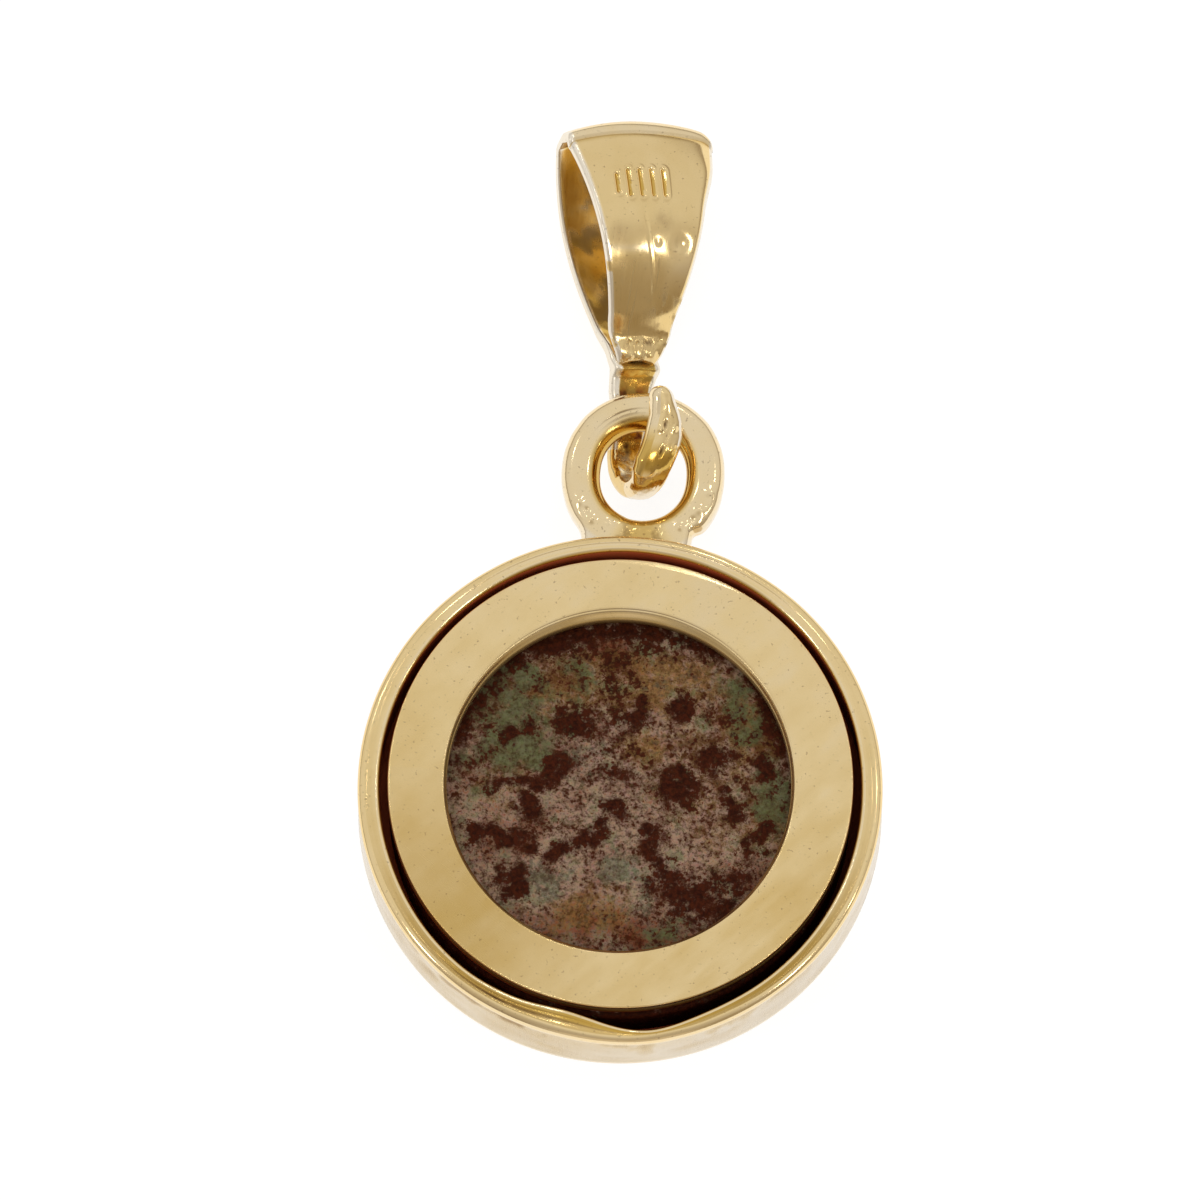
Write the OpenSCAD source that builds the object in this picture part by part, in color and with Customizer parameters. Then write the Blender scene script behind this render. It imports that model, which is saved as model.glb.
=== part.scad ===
// Coin pendant lying on its front, so its back face looks up.
// The origin is the middle of the bezel, on the surface that it rests on.
// +Z is up, and +Y runs from the coin towards the bail.

/* [Coin] */
// Diameter of the coin
coin_d = 15; // [12:0.1:20]
// Thickness of the coin
coin_t = 1.6; // [1.2:0.05:2.5]
// Height of the worn relief on the coin's back
relief_h = 0.12; // [0.05:0.01:0.2]
// Gap between the coin and the metal in front of and behind it
coin_gap = 0.05; // [0.03:0.01:0.1]
// Turn of the coin in its bezel, in degrees
coin_turn = 4; // [-180:1:180]

/* [Bezel] */
// Gap between the coin's edge and the bezel's wall
coin_side_gap = 0.4; // [0.1:0.05:0.8]
// Thickness of the bezel's side wall
wall_t = 0.6; // [0.5:0.05:1]
// How far the crest of the back rim stands above the back ring
rim_rise = 0.13; // [0:0.01:0.5]
// Rounding of the bezel's outer edge at the front
edge_r = 0.28; // [0.15:0.01:0.45]
// How far the lip at the front reaches over the coin
lip_reach = 0.8; // [0.4:0.05:1.5]
// Thickness of the lip at the front
lip_t = 0.55; // [0.4:0.05:0.9]

/* [Dent in the back rim] */
// How far the dent pushes the rim's inner edge outwards
dent_reach = 0.33; // [0.1:0.01:0.38]
// Length of the dent along the rim
dent_w = 2.6; // [1.5:0.1:4]
// Depth of the dent below the rim's crest
dent_h = 0.5; // [0.2:0.05:0.7]
// Place of the dent round the rim, in degrees from +X
dent_angle = -79; // [-110:1:-60]

/* [Back ring] */
// Width of the back ring, from its hole to its outside
back_ring_w = 2; // [1:0.05:3]
// Thickness of the back ring
back_ring_t = 0.6; // [0.4:0.05:1]
// Mean gap between the back ring and the bezel's wall
back_ring_gap = 0.35; // [0.25:0.05:0.6]
// How far the back ring sits off centre, towards the bail
back_ring_shift = 0.18; // [0:0.02:0.2]
// Bevel on the back ring's edges
back_ring_bevel = 0.08; // [0.04:0.01:0.15]

/* [Loop] */
// Width of the hole in the loop
loop_hole_w = 2.8; // [2.4:0.1:3.4]
// How much longer the loop's hole is than it is wide
loop_stretch = 0.25; // [0.1:0.05:0.6]
// Width of the loop's wire
loop_w = 1.25; // [1:0.05:1.4]
// Thickness of the loop's wire
loop_t = 1.05; // [0.95:0.05:1.1]
// Rounding of the loop's inner edges
loop_inner_r = 0.42; // [0.2:0.01:0.45]
// Rounding of the loop's outer edges
loop_outer_r = 0.3; // [0.2:0.01:0.4]
// Depth of the middle of the loop below the crest of the back rim
loop_drop = 1.12; // [0.9:0.02:1.3]
// Metal between the bezel's outside and the hole in the loop
loop_root = 0.8; // [0.7:0.05:1]
// Width of the solder foot under the loop
foot_w = 3.4; // [2.6:0.1:4]

/* [Bail] */
// Length of the bail from its neck to the top of its fold
bail_len = 8; // [6.5:0.05:9]
// Width of the bail at its fold
bail_top_w = 5.25; // [4.5:0.05:6]
// Width of the bail at its neck
bail_neck_w = 1.6; // [1.2:0.05:1.8]
// Depth of the bail over both plates, where it is deepest
bail_depth = 3.04; // [2.6:0.02:3.4]
// Distance from the neck to the deepest place of the bail
bail_belly = 4.3; // [3.5:0.1:5]
// Length of the bevelled fold at the top of the bail
fold_len = 0.5; // [0.4:0.02:0.8]
// Depth of the bail over both plates where the fold starts
fold_depth = 1.16; // [0.9:0.02:1.5]
// Rounding of the top of the fold
fold_tip_r = 0.25; // [0.15:0.01:0.3]
// How much lower the fold's corners are than its middle
bail_crown = 0.35; // [0.1:0.05:0.6]
// Thickness of the bail's sheet
bail_t = 0.34; // [0.25:0.01:0.5]

/* [Hook] */
// Width of the tongue that forms the hook
hook_w = 1; // [0.9:0.05:1.15]
// Thickness of the tongue that forms the hook
hook_t = 0.48; // [0.35:0.01:0.6]
// Gap between the hook's two arms
hook_gap = 2.15; // [2.1:0.05:2.4]
// Distance from the loop's wire to the bend of the hook
hook_slack = 1.6; // [1:0.05:2]
// Distance from the loop's wire to the bail's neck
neck_room = 0.9; // [0.8:0.05:2]
// How far the bend of the hook leans to the side of its tip
hook_lean = 0.3; // [0.2:0.05:0.4]
// How far the hook's tip lies to the same side
tip_lean = 0.2; // [0:0.05:0.25]
// How far the hook's tip reaches past the loop's wire
tip_past = 0.2; // [0:0.05:0.6]

/* [Pose of the bail] */
// Roll of the bail about its own length, left side up, in degrees
bail_roll = 27; // [20:0.5:30]
// How far the bail has slid along the loop's wire, towards +X
bail_slide = 0.1; // [-0.1:0.05:0.15]
// Swing of the bail in the resting plane, in degrees
bail_swing = 4; // [-6:1:8]

/* [Hidden] */
$fn = 96;

GOLD = "#d6be8d";
BRONZE = "#4e3327";

coin_r = coin_d / 2;
bore_r = coin_r + coin_side_gap;
bezel_r = bore_r + wall_t;
front_opening_r = coin_r - lip_reach;
back_ring_r = bore_r - back_ring_gap;
back_hole_r = back_ring_r - back_ring_w;
coin_z = lip_t + coin_gap;
coin_top_z = coin_z + coin_t;
back_ring_z = coin_top_z + relief_h + coin_gap;
bezel_h = back_ring_z + back_ring_t + rim_rise;
loop_z = bezel_h - loop_drop;
// The relief starts as far inside the coin as it stands out.
relief_solid_h = 2 * relief_h;

// The loop's half rounds sit loop_stretch apart, with their middle at loop_y.
loop_hole_r = loop_hole_w / 2;
loop_y = bezel_r + loop_root + loop_stretch / 2 + loop_hole_r;
wire_y = loop_y + loop_stretch / 2 + loop_hole_r + loop_w / 2;

// Stations along the bail, counted from its neck towards its fold.
seat_s = -(neck_room + loop_w / 2);
hook_bend_s = seat_s - loop_w / 2 - hook_slack + hook_gap / 2;
hook_end_s = hook_bend_s - hook_gap / 2 - hook_t;
tip_s = seat_s + loop_w / 2 + tip_past;
hook_mid = (hook_gap + hook_t) / 2;
fold_s = bail_len - fold_len;

// Gap under the lowest place of the bail
REST_GAP = 0.01;
// Segments of a quarter round, and points along each side of the bail's outlines
QUARTER = 6;
SIDE_POINTS = 14;
// Length of the cutters beyond the faces that they cut
CUT = 1;
// Width of the flat crest between the two roundings of the back rim
RIM_FLAT = 0.04;
// Rounding of the coin's worn edge
COIN_EDGE_R = 0.15;
// How far each face of the solder foot is inside the loop's, and how far the foot flares at each side
FOOT_INSET = 0.1;
FOOT_FLARE = 0.25;
// How far the rounding of the fold's top turns to each side, in degrees
FOLD_TIP_TURN = 50;
// How far the hook's tongue runs on inside the bail's neck
NECK_OVERLAP = 0.6;

// Where the coin's dark patches are raised. Places and sizes are shares of the coin's radius,
// across and up as the coin is seen from the back.
DOT_ACROSS = 0;
DOT_UP = 1;
DOT_R = 2;
DOTS = [
    // across, up, radius
    [-0.19, 0.36, 0.065],
    [0.07, 0.33, 0.055],
    [0.07, 0.42, 0.04],
    [0.26, 0.39, 0.06],
    [-0.27, 0.13, 0.06],
    [-0.03, -0.075, 0.06],
    [0.27, 0.035, 0.095],
    [0.41, 0.14, 0.07],
    [-0.42, 0.3, 0.04],
    [-0.5, 0.27, 0.03],
    [-0.39, -0.06, 0.06],
    [-0.47, -0.385, 0.075],
    [-0.02, 0.55, 0.08],
    [0.6, 0.15, 0.06],
];
BAR_ACROSS_A = 0;
BAR_UP_A = 1;
BAR_ACROSS_B = 2;
BAR_UP_B = 3;
BAR_W = 4;
BARS = [
    // across and up at one end, across and up at the other, width
    [-0.56, 0.035, -0.31, 0.06, 0.05],
    [-0.64, -0.15, -0.39, -0.235, 0.08],
    [-0.3, -0.26, -0.1, -0.16, 0.07],
    [0.13, -0.17, 0.16, -0.36, 0.07],
    [0.2, -0.39, 0.28, -0.5, 0.12],
    [0.3, -0.44, 0.5, -0.4, 0.14],
    [0.46, 0, 0.53, -0.1, 0.05],
    [0.54, -0.22, 0.66, -0.17, 0.05],
];

// Points of a circular arc about [x, y], from angle a to angle b.
function arc(x, y, r, a, b, n = QUARTER) =
    [for (i = [0:n]) let (t = a + (b - a) * i / n) [x + r * cos(t), y + r * sin(t)]];

// Half the bail's depth at station s, from the neck to the fold: slim at the neck, widest at the belly.
NECK_BACK = 0.1;
LEAF_POWER_NECK = 1.25;
LEAF_POWER_FOLD = 1.9;
function half_depth(s) =
    s < bail_belly
    ? bail_depth / 2 * pow(1 - pow((bail_belly - s) / (bail_belly + NECK_BACK), 2), LEAF_POWER_NECK)
    : bail_depth / 2
      - (bail_depth - fold_depth) / 2 * pow((s - bail_belly) / (fold_s - bail_belly), LEAF_POWER_FOLD);

// Half the bail's width at station s: it widens from the neck, fastest at first.
WIDTH_POWER = 0.95;
function half_width(s) =
    bail_neck_w / 2 + (bail_top_w - bail_neck_w) / 2 * pow(max(0, s) / bail_len, WIDTH_POWER);

// One side of the leaf, with its stations closest together at the neck.
function leaf_station(i) = -NECK_BACK + (fold_s + NECK_BACK) * (1 - cos(90 * i / (2 * SIDE_POINTS)));
function leaf_side(sign) =
    [for (i = [1:2 * SIDE_POINTS]) let (s = leaf_station(i)) [s, sign * half_depth(s)]];

// The bail's pitch, top end up, is the least at which no place of its lower plate goes under the surface.
function rest_pitch(s) =
    let (along = s - seat_s,
         down = (half_depth(s) + hook_mid) * cos(bail_roll) + half_width(s) * sin(bail_roll),
         reach = sqrt(along * along + down * down))
    atan2(down, along) - asin(min(1, (loop_z - REST_GAP) / reach));
bail_pitch = max([for (i = [1:2 * SIDE_POINTS]) rest_pitch(leaf_station(i))]);

function reversed(points) = [for (i = [len(points) - 1:-1:0]) points[i]];

// Cup with a front lip, both outer edges rounded, and the crest of the back rim rounded on both sides.
module bezel_cup() {
    rim_r = (wall_t - RIM_FLAT) / 2;
    rotate_extrude()
        polygon(concat(
            [[front_opening_r, 0]],
            arc(bezel_r - edge_r, edge_r, edge_r, -90, 0),
            arc(bezel_r - rim_r, bezel_h - rim_r, rim_r, 0, 90),
            arc(bore_r + rim_r, bezel_h - rim_r, rim_r, 90, 180),
            [[bore_r, lip_t], [front_opening_r, lip_t]]
        ));
}

// The dent is a shallow bite out of the rim's inner side.
module rim_dent() {
    half = dent_w / 2;
    bite_r = (half * half + dent_reach * dent_reach) / (2 * dent_reach);
    rotate([0, 0, dent_angle])
        translate([bore_r + dent_reach - bite_r, 0, bezel_h - dent_h])
            cylinder(r = bite_r, h = dent_h + CUT);
}

// Section of the loop's wire, beside the axis that it turns about.
module loop_section() {
    inner = loop_hole_r;
    outer = loop_hole_r + loop_w;
    top = loop_t / 2;
    polygon(concat(
        arc(outer - loop_outer_r, -top + loop_outer_r, loop_outer_r, -90, 0),
        arc(outer - loop_outer_r, top - loop_outer_r, loop_outer_r, 0, 90),
        arc(inner + loop_inner_r, top - loop_inner_r, loop_inner_r, 90, 180),
        arc(inner + loop_inner_r, -top + loop_inner_r, loop_inner_r, 180, 270)
    ));
}

// Loop with half-round ends and short straight sides.
module loop_ring() {
    translate([0, loop_y, loop_z]) {
        translate([0, loop_stretch / 2, 0])
            rotate_extrude(angle = 180) loop_section();
        translate([0, -loop_stretch / 2, 0])
            rotate([0, 0, 180]) rotate_extrude(angle = 180) loop_section();
        for (side = [0, 180])
            rotate([0, 0, side]) translate([0, loop_stretch / 2, 0])
                rotate([90, 0, 0]) linear_extrude(height = loop_stretch) loop_section();
    }
}

// Solder between the loop and the bezel's wall, hollowed at its two sides.
module loop_foot() {
    foot_t = loop_t - 2 * FOOT_INSET;
    foot_low_y = sqrt(bezel_r * bezel_r - foot_w * foot_w / 4) - wall_t / 2;
    foot_high_y = bezel_r + loop_root;
    translate([0, 0, loop_z - foot_t / 2])
        linear_extrude(height = foot_t)
            polygon([
                [-foot_w / 2 - FOOT_FLARE, foot_low_y],
                [foot_w / 2 + FOOT_FLARE, foot_low_y],
                [foot_w / 2, (foot_low_y + foot_high_y) / 2],
                [foot_w / 2 - FOOT_FLARE / 2, foot_high_y],
                [-foot_w / 2 + FOOT_FLARE / 2, foot_high_y],
                [-foot_w / 2, (foot_low_y + foot_high_y) / 2],
            ]);
}

module loop_hole() {
    translate([0, loop_y, loop_z - loop_t / 2 - CUT]) {
        for (end = [-1, 1])
            translate([0, end * loop_stretch / 2, 0]) cylinder(r = loop_hole_r, h = loop_t + 2 * CUT);
    }
}

module bezel() {
    color(GOLD) {
        difference() {
            union() {
                bezel_cup();
                difference() {
                    loop_foot();
                    loop_hole();
                }
            }
            rim_dent();
        }
        loop_ring();
    }
}

module back_ring() {
    b = back_ring_bevel;
    color(GOLD)
        translate([0, back_ring_shift, back_ring_z])
            rotate_extrude()
                polygon([
                    [back_hole_r, 0],
                    [back_ring_r, 0],
                    [back_ring_r, back_ring_t - b],
                    [back_ring_r - b, back_ring_t],
                    [back_hole_r + b, back_ring_t],
                    [back_hole_r, back_ring_t - b],
                ]);
}

// A raised bar of the coin with rounded ends, which starts inside the coin.
module relief_bar(bar) {
    across = (bar[BAR_ACROSS_B] - bar[BAR_ACROSS_A]) * coin_r;
    up = (bar[BAR_UP_B] - bar[BAR_UP_A]) * coin_r;
    w = bar[BAR_W] * coin_r;
    length = sqrt(across * across + up * up);
    translate([bar[BAR_ACROSS_A] * coin_r, bar[BAR_UP_A] * coin_r, 0])
        rotate([0, 0, atan2(up, across)])
            linear_extrude(height = relief_solid_h)
                polygon(concat(arc(0, 0, w / 2, 90, 270), arc(length, 0, w / 2, -90, 90)));
}

module relief_dot(dot) {
    translate([dot[DOT_ACROSS] * coin_r, dot[DOT_UP] * coin_r, 0])
        cylinder(r = dot[DOT_R] * coin_r, h = relief_solid_h);
}

module coin() {
    color(BRONZE)
        rotate([0, 0, coin_turn]) {
            translate([0, 0, coin_z])
                rotate_extrude()
                    polygon(concat(
                        [[0, 0]],
                        arc(coin_r - COIN_EDGE_R, COIN_EDGE_R, COIN_EDGE_R, -90, 0),
                        arc(coin_r - COIN_EDGE_R, coin_t - COIN_EDGE_R, COIN_EDGE_R, 0, 90),
                        [[0, coin_t]]
                    ));
            translate([0, 0, coin_top_z - relief_h]) {
                for (dot = DOTS) relief_dot(dot);
                for (bar = BARS) relief_bar(bar);
            }
        }
}

// Turns a side outline, drawn as station and depth, into a solid of the given width across the bail.
module across_bail(w) {
    rotate([90, 0, 90]) translate([0, 0, -w / 2]) linear_extrude(height = w) children();
}

module leaf_outline() {
    polygon(concat(
        [[-NECK_BACK, 0]],
        leaf_side(-1),
        arc(bail_len - fold_tip_r, 0, fold_tip_r, -FOLD_TIP_TURN, FOLD_TIP_TURN),
        reversed(leaf_side(1))
    ));
}

// Disc whose upper edge is the arched top of the fold, or of its inside.
module crown_disc(inset) {
    half = bail_top_w / 2;
    crown_r = (half * half + bail_crown * bail_crown) / (2 * bail_crown);
    translate([0, bail_len - crown_r]) circle(r = crown_r - inset);
}

// Tapered outline of the plates as seen from the back.
module plate_outline() {
    stations = [for (i = [0:SIDE_POINTS]) bail_len * i / SIDE_POINTS];
    polygon(concat(
        [for (s = stations) [half_width(s), s]],
        reversed([for (s = stations) [-half_width(s), s]])
    ));
}

// Both plates and the fold in one band of the bail's tapered width, open at its two sides.
module bail_band() {
    difference() {
        intersection() {
            across_bail(bail_top_w + CUT) leaf_outline();
            linear_extrude(height = bail_depth + CUT, center = true)
                intersection() {
                    plate_outline();
                    crown_disc(0);
                }
        }
        intersection() {
            across_bail(bail_top_w + CUT) offset(delta = -bail_t) leaf_outline();
            linear_extrude(height = bail_depth + CUT, center = true) crown_disc(bail_t);
        }
    }
}

// How far the middle of the hook has leant to its side at station s.
function lean(s) = -hook_lean * (seat_s - s) / (seat_s - hook_end_s);

// Tongue that narrows from the neck to the loop's wire, goes round the bend and comes back as an arm
// with a rounded tip.
module bail_hook() {
    far_s = hook_end_s - CUT;
    intersection() {
        across_bail(bail_neck_w + 2 * hook_lean)
            polygon(concat(
                [[NECK_OVERLAP, -hook_t / 2], [NECK_OVERLAP, hook_t / 2]],
                reversed(arc(hook_bend_s, hook_mid, hook_gap / 2, 90, 270, 3 * QUARTER)),
                arc(hook_bend_s, hook_mid, hook_gap / 2 + hook_t, 90, 270, 3 * QUARTER)
            ));
        linear_extrude(height = 2 * hook_gap + CUT, center = true)
            polygon([
                [lean(far_s) + hook_w / 2, far_s],
                [hook_w / 2, seat_s],
                [bail_neck_w / 2, 0],
                [bail_neck_w / 2, NECK_OVERLAP],
                [-bail_neck_w / 2, NECK_OVERLAP],
                [-bail_neck_w / 2, 0],
                [-hook_w / 2, seat_s],
                [lean(far_s) - hook_w / 2, far_s],
            ]);
    }
    translate([0, 0, 2 * hook_mid - hook_t / 2])
        linear_extrude(height = hook_t)
            polygon(concat(
                [[lean(hook_bend_s) + hook_w / 2, hook_bend_s]],
                arc(-tip_lean, tip_s - hook_w / 2, hook_w / 2, 0, 180, 2 * QUARTER),
                [[lean(hook_bend_s) - hook_w / 2, hook_bend_s]]
            ));
}

// Carries the bail so that the loop's wire passes through the middle of its hook.
module bail() {
    color(GOLD)
        translate([bail_slide, wire_y, loop_z])
            rotate([0, 0, bail_swing])
                rotate([bail_pitch, 0, 0])
                    rotate([0, bail_roll, 0])
                        translate([0, -seat_s, -hook_mid]) {
                            bail_band();
                            bail_hook();
                        }
}

bezel();
back_ring();
coin();
bail();
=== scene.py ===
"""Coin pendant lying on its front, dressed with polished gold and patinated bronze."""

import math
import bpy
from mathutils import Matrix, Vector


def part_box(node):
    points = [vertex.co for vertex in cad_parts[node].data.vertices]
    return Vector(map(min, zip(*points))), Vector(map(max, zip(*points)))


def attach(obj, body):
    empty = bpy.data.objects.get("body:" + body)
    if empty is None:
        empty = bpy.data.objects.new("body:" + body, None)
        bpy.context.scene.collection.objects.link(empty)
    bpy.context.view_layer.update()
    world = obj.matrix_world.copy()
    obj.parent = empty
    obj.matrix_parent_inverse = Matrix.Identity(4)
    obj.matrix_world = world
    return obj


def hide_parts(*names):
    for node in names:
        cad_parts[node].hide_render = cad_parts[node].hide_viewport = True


bl_info = {
    "name": "Coin Pendant",
    "version": (1, 0, 0),
    "blender": (4, 5, 0),
    "location": "View3D > Sidebar > Pendant",
    "description": "Builds a small coin pendant with a bezel, a back ring, a loop and a folded bail",
    "category": "Add Mesh",
}

import bpy
import numpy as np
from bpy.props import FloatProperty, FloatVectorProperty, IntProperty, PointerProperty
from mathutils import Euler, Matrix, Vector

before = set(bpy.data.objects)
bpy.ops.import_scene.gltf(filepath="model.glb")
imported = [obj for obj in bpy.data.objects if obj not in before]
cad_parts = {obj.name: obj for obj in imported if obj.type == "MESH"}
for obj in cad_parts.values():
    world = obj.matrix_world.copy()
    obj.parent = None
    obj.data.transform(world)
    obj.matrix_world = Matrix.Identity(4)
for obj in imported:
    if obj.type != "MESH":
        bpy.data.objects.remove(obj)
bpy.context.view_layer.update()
BEZEL_LOW, BEZEL_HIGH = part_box("bezel")
RING_LOW, RING_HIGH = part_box("back_ring")
COIN_LOW, COIN_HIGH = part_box("coin")

MM = 0.001
BODY = "root"
# The photograph: pixels along a side, pixels to a millimetre, and the pixel of the coin's middle
PHOTO_SIDE = 1200
PX_PER_MM = 30.8
COIN_AT = (620, 812.4)


def linear(hex_colour):
    """Turns an sRGB hex colour into linear red, green, blue and alpha."""
    parts = [int(hex_colour[i : i + 2], 16) / 255 for i in (1, 3, 5)]
    return tuple(c / 12.92 if c <= 0.04045 else ((c + 0.055) / 1.055) ** 2.4 for c in parts) + (1,)


# Sizes and colours that a user may change


def length(name, description, mm):
    """A length, given in millimetres and kept in metres."""
    return FloatProperty(name=name, description=description, default=mm * MM, min=0, unit="LENGTH",
                         precision=5)


def angle(name, description, degrees):
    """An angle, given in degrees."""
    return FloatProperty(name=name, description=description, default=math.radians(degrees),
                         subtype="ANGLE", unit="ROTATION")


def share(name, description, default):
    """A plain strength."""
    return FloatProperty(name=name, description=description, default=default, min=0, max=5,
                         subtype="FACTOR")


def colour(name, description, hex_colour):
    """A colour, given in sRGB hex."""
    return FloatVectorProperty(name=name, description=description, default=linear(hex_colour), size=4,
                               min=0, max=1, subtype="COLOR")


class PendantBezelSizes(bpy.types.PropertyGroup):
    """Sizes of the bezel's cup and of the back ring in it."""

    outer_d: length("Outer diameter", "Over the side wall", (BEZEL_HIGH.x - BEZEL_LOW.x) / MM)
    height: length("Height", "From the front lip to the rim's crest", BEZEL_HIGH.z / MM)
    wall: length("Wall", "Thickness of the side wall", 0.6)
    front_opening_d: length("Front opening", "Diameter in the front lip", 13.4)
    lip: length("Lip", "Thickness of the front lip", 0.55)
    outer_round: length("Outer rounding", "Rim towards the side wall", 0.24)
    inner_round: length("Inner rounding", "Rim towards the coin", 0.13)
    ring_hole_d: length("Back ring hole", "Diameter of the hole", 11.15)
    ring_chamfer: length("Back ring chamfer", "Chamfer round the hole", 0.15)


class PendantLoopSizes(bpy.types.PropertyGroup):
    """Sizes of the loop and its solder foot."""

    hole_d: length("Hole", "Width of the hole", 2.8)
    stretch: length("Stretch", "Length of the hole less its width", 0.25)
    wire_w: length("Wire width", "Width of the wire", 1.25)
    wire_t: length("Wire thickness", "Thickness of the wire", 1.05)
    centre_y: length("Centre", "From the coin's middle to the loop's", 10.825)
    centre_z: length("Height", "Middle above the floor", 1.98)


class PendantCoinSizes(bpy.types.PropertyGroup):
    """Sizes of the coin."""

    diameter: length("Diameter", "Diameter of the coin", (COIN_HIGH.x - COIN_LOW.x) / MM)
    relief: length("Relief", "Height of the worn relief", 0.1)
    turn: angle("Turn", "Turn in the bezel", 4)
    seed: IntProperty(name="Seed", description="Seed of the relief and patina", default=7, min=0)


class PendantBailSizes(bpy.types.PropertyGroup):
    """Sizes and pose of the bail."""

    length: length("Length", "From the neck to the top of the fold", 8)
    top_w: length("Top width", "Width at the fold", 5.25)
    neck_w: length("Neck width", "Width at the neck", 1.6)
    depth: length("Depth", "Over both plates at the belly", 3.04)
    belly: length("Belly", "From the neck to the deepest place", 4.3)
    fold_len: length("Fold length", "Length of the bevelled fold", 0.45)
    fold_depth: length("Fold depth", "Over both plates where the fold starts", 1.16)
    crown: length("Crown", "Fold's corners below its middle", 0.35)
    plate_t: length("Plate thickness", "Thickness of the plates", 0.28)
    hook_t: length("Hook thickness", "Thickness of the tongue", 0.48)
    hook_w: length("Hook width", "Width of the hook's arm", 1.02)
    hook_gap: length("Hook gap", "Between the hook's two arms", 2.15)
    neck_room: length("Neck room", "From the loop's wire to the neck", 0.9)
    hook_slack: length("Hook slack", "From the loop's wire to the bend", 1.6)
    roll: angle("Roll", "About the bail's length, left side up", 27)
    pitch: angle("Pitch", "Top end up", 13.29)
    swing: angle("Swing", "In the plane of the floor", 4)


class PendantColours(bpy.types.PropertyGroup):
    """Colours of the metals, the patina and the stage."""

    gold: colour("Gold", "Polished 14 karat yellow gold", "#f2d7a0")
    deep: colour("Deep gold", "Gold mirrored in itself, in hollows", "#d2ab54")
    amber: colour("Amber gold", "Gold mirrored many times, in crevices", "#c48c30")
    # Painted shade: red-brown deep in the gap, where gold mirrors gold many times
    compound: colour("Compound", "Red-brown compound in the gap", "#c0603a")
    # Painted reflection: gold painted whitish where the white panel and the sky are mirrored in it
    pale: colour("Pale gold", "Gold buffed to a faint haze", "#f2e8d6")
    # Dark brown of dry soiling, and also of painted shade in gaps, creases and under other parts
    grime: colour("Grime", "Brown dirt", "#42150a")
    bronze: colour("Bronze", "Dark worn bronze", "#2e1008")
    crust: colour("Crust", "Pinkish grey crust", "#b49982")
    earth: colour("Earth", "Brown earth between the grains", "#48200f")
    green: colour("Green patina", "Dull green copper patina", "#5c6844")
    olive: colour("Olive patina", "Olive and tan earth", "#94703f")
    teal: colour("Teal patina", "Bluish green patina", "#7f8068")
    rust: colour("Rust", "Reddish brown oxide", "#7a3c1a")
    panel: colour("Panel", "Opal panel under the pendant", "#8f8f8f")


class PendantStageSettings(bpy.types.PropertyGroup):
    """Camera and light."""

    elevation: angle("Camera elevation", "Height of the camera over the horizon", 74)
    azimuth: angle("Camera azimuth", "Turn of the camera round the pendant", 4)
    distance: length("Camera distance", "Distance from the camera to the pendant", 800)
    view_w: length("View width", "Width of the picture at the pendant", PHOTO_SIDE / PX_PER_MM)
    sky: share("Sky", "Brightness of the tent overhead", 0.8)
    glow: share("Panel glow", "Light that the opal panel sends up", 0.85)


class Sizes:
    """A group's values by name, with its lengths in millimetres."""

    def __init__(self, settings):
        for key in settings.__annotations__:
            value = getattr(settings, key)
            is_length = settings.bl_rna.properties[key].unit == "LENGTH"
            setattr(self, key, value / MM if is_length else value)


# Arrays


def ramp(low, high, x):
    """Rises from 0 at low to 1 at high as 3t squared less 2t cubed."""
    t = np.clip((x - low) / (high - low), 0, 1)
    return t * t * (3 - 2 * t)


def bump(x, middle, width):
    """Bell of height 1: e to the power of minus the square of the distance over the width."""
    return np.exp(-(((x - middle) / width) ** 2))


def bells(x, *parts):
    """Sum of bells, each given as its strength, middle and width."""
    return sum(strength * bump(x, middle, width) for strength, middle, width in parts)


def spot(x, y, middle_x, middle_y, width):
    """Bell of height 1 over the distance from a place."""
    return bump(np.hypot(x - middle_x, y - middle_y), 0, width)


def round_turn(rows):
    """Angles all round, as a column, in radians and in degrees from -180 to 180."""
    turn = np.linspace(0, 2 * math.pi, rows, endpoint=False)[:, None]
    return turn, (np.degrees(turn) + 180) % 360 - 180


def periodic(deg, table):
    """Smooth closed curve through a table of angles and values: straight lines, then a running mean over
    9 degrees."""
    places, values = np.array(sorted(table)).T
    whole = np.arange(-180, 180, 1)
    line = np.interp(whole, places, values, period=360)
    mean = sum(np.roll(line, k) for k in range(-4, 5)) / 9
    return np.interp(deg, whole, mean, period=360)


def clouds(x, y, cell, seed, octaves=4):
    """Soft noise between about -1 and 1: random values on a lattice, blended as in ramp, in octaves that
    halve in size and in strength."""
    rng = np.random.default_rng(seed)
    total, norm = 0, 0
    for octave in range(octaves):
        table = rng.uniform(-1, 1, (64, 64))
        u = x / cell * 2**octave + 17.3
        v = y / cell * 2**octave + 9.7
        iu, iv = np.floor(u).astype(int), np.floor(v).astype(int)
        fu, fv = ramp(0, 1, u - iu), ramp(0, 1, v - iv)
        a, b = table[iu % 64, iv % 64], table[(iu + 1) % 64, iv % 64]
        c, d = table[iu % 64, (iv + 1) % 64], table[(iu + 1) % 64, (iv + 1) % 64]
        total = total + ((a * (1 - fu) + b * fu) * (1 - fv) + (c * (1 - fu) + d * fu) * fv) * 0.5**octave
        norm += 0.5**octave
    return total / norm


def painted(*layers):
    """Values laid over each other in turn. Each layer is where it lies and what it is there."""
    total = 0
    for where, value in layers:
        total = np.where(where, value, total)
    return total


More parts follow.
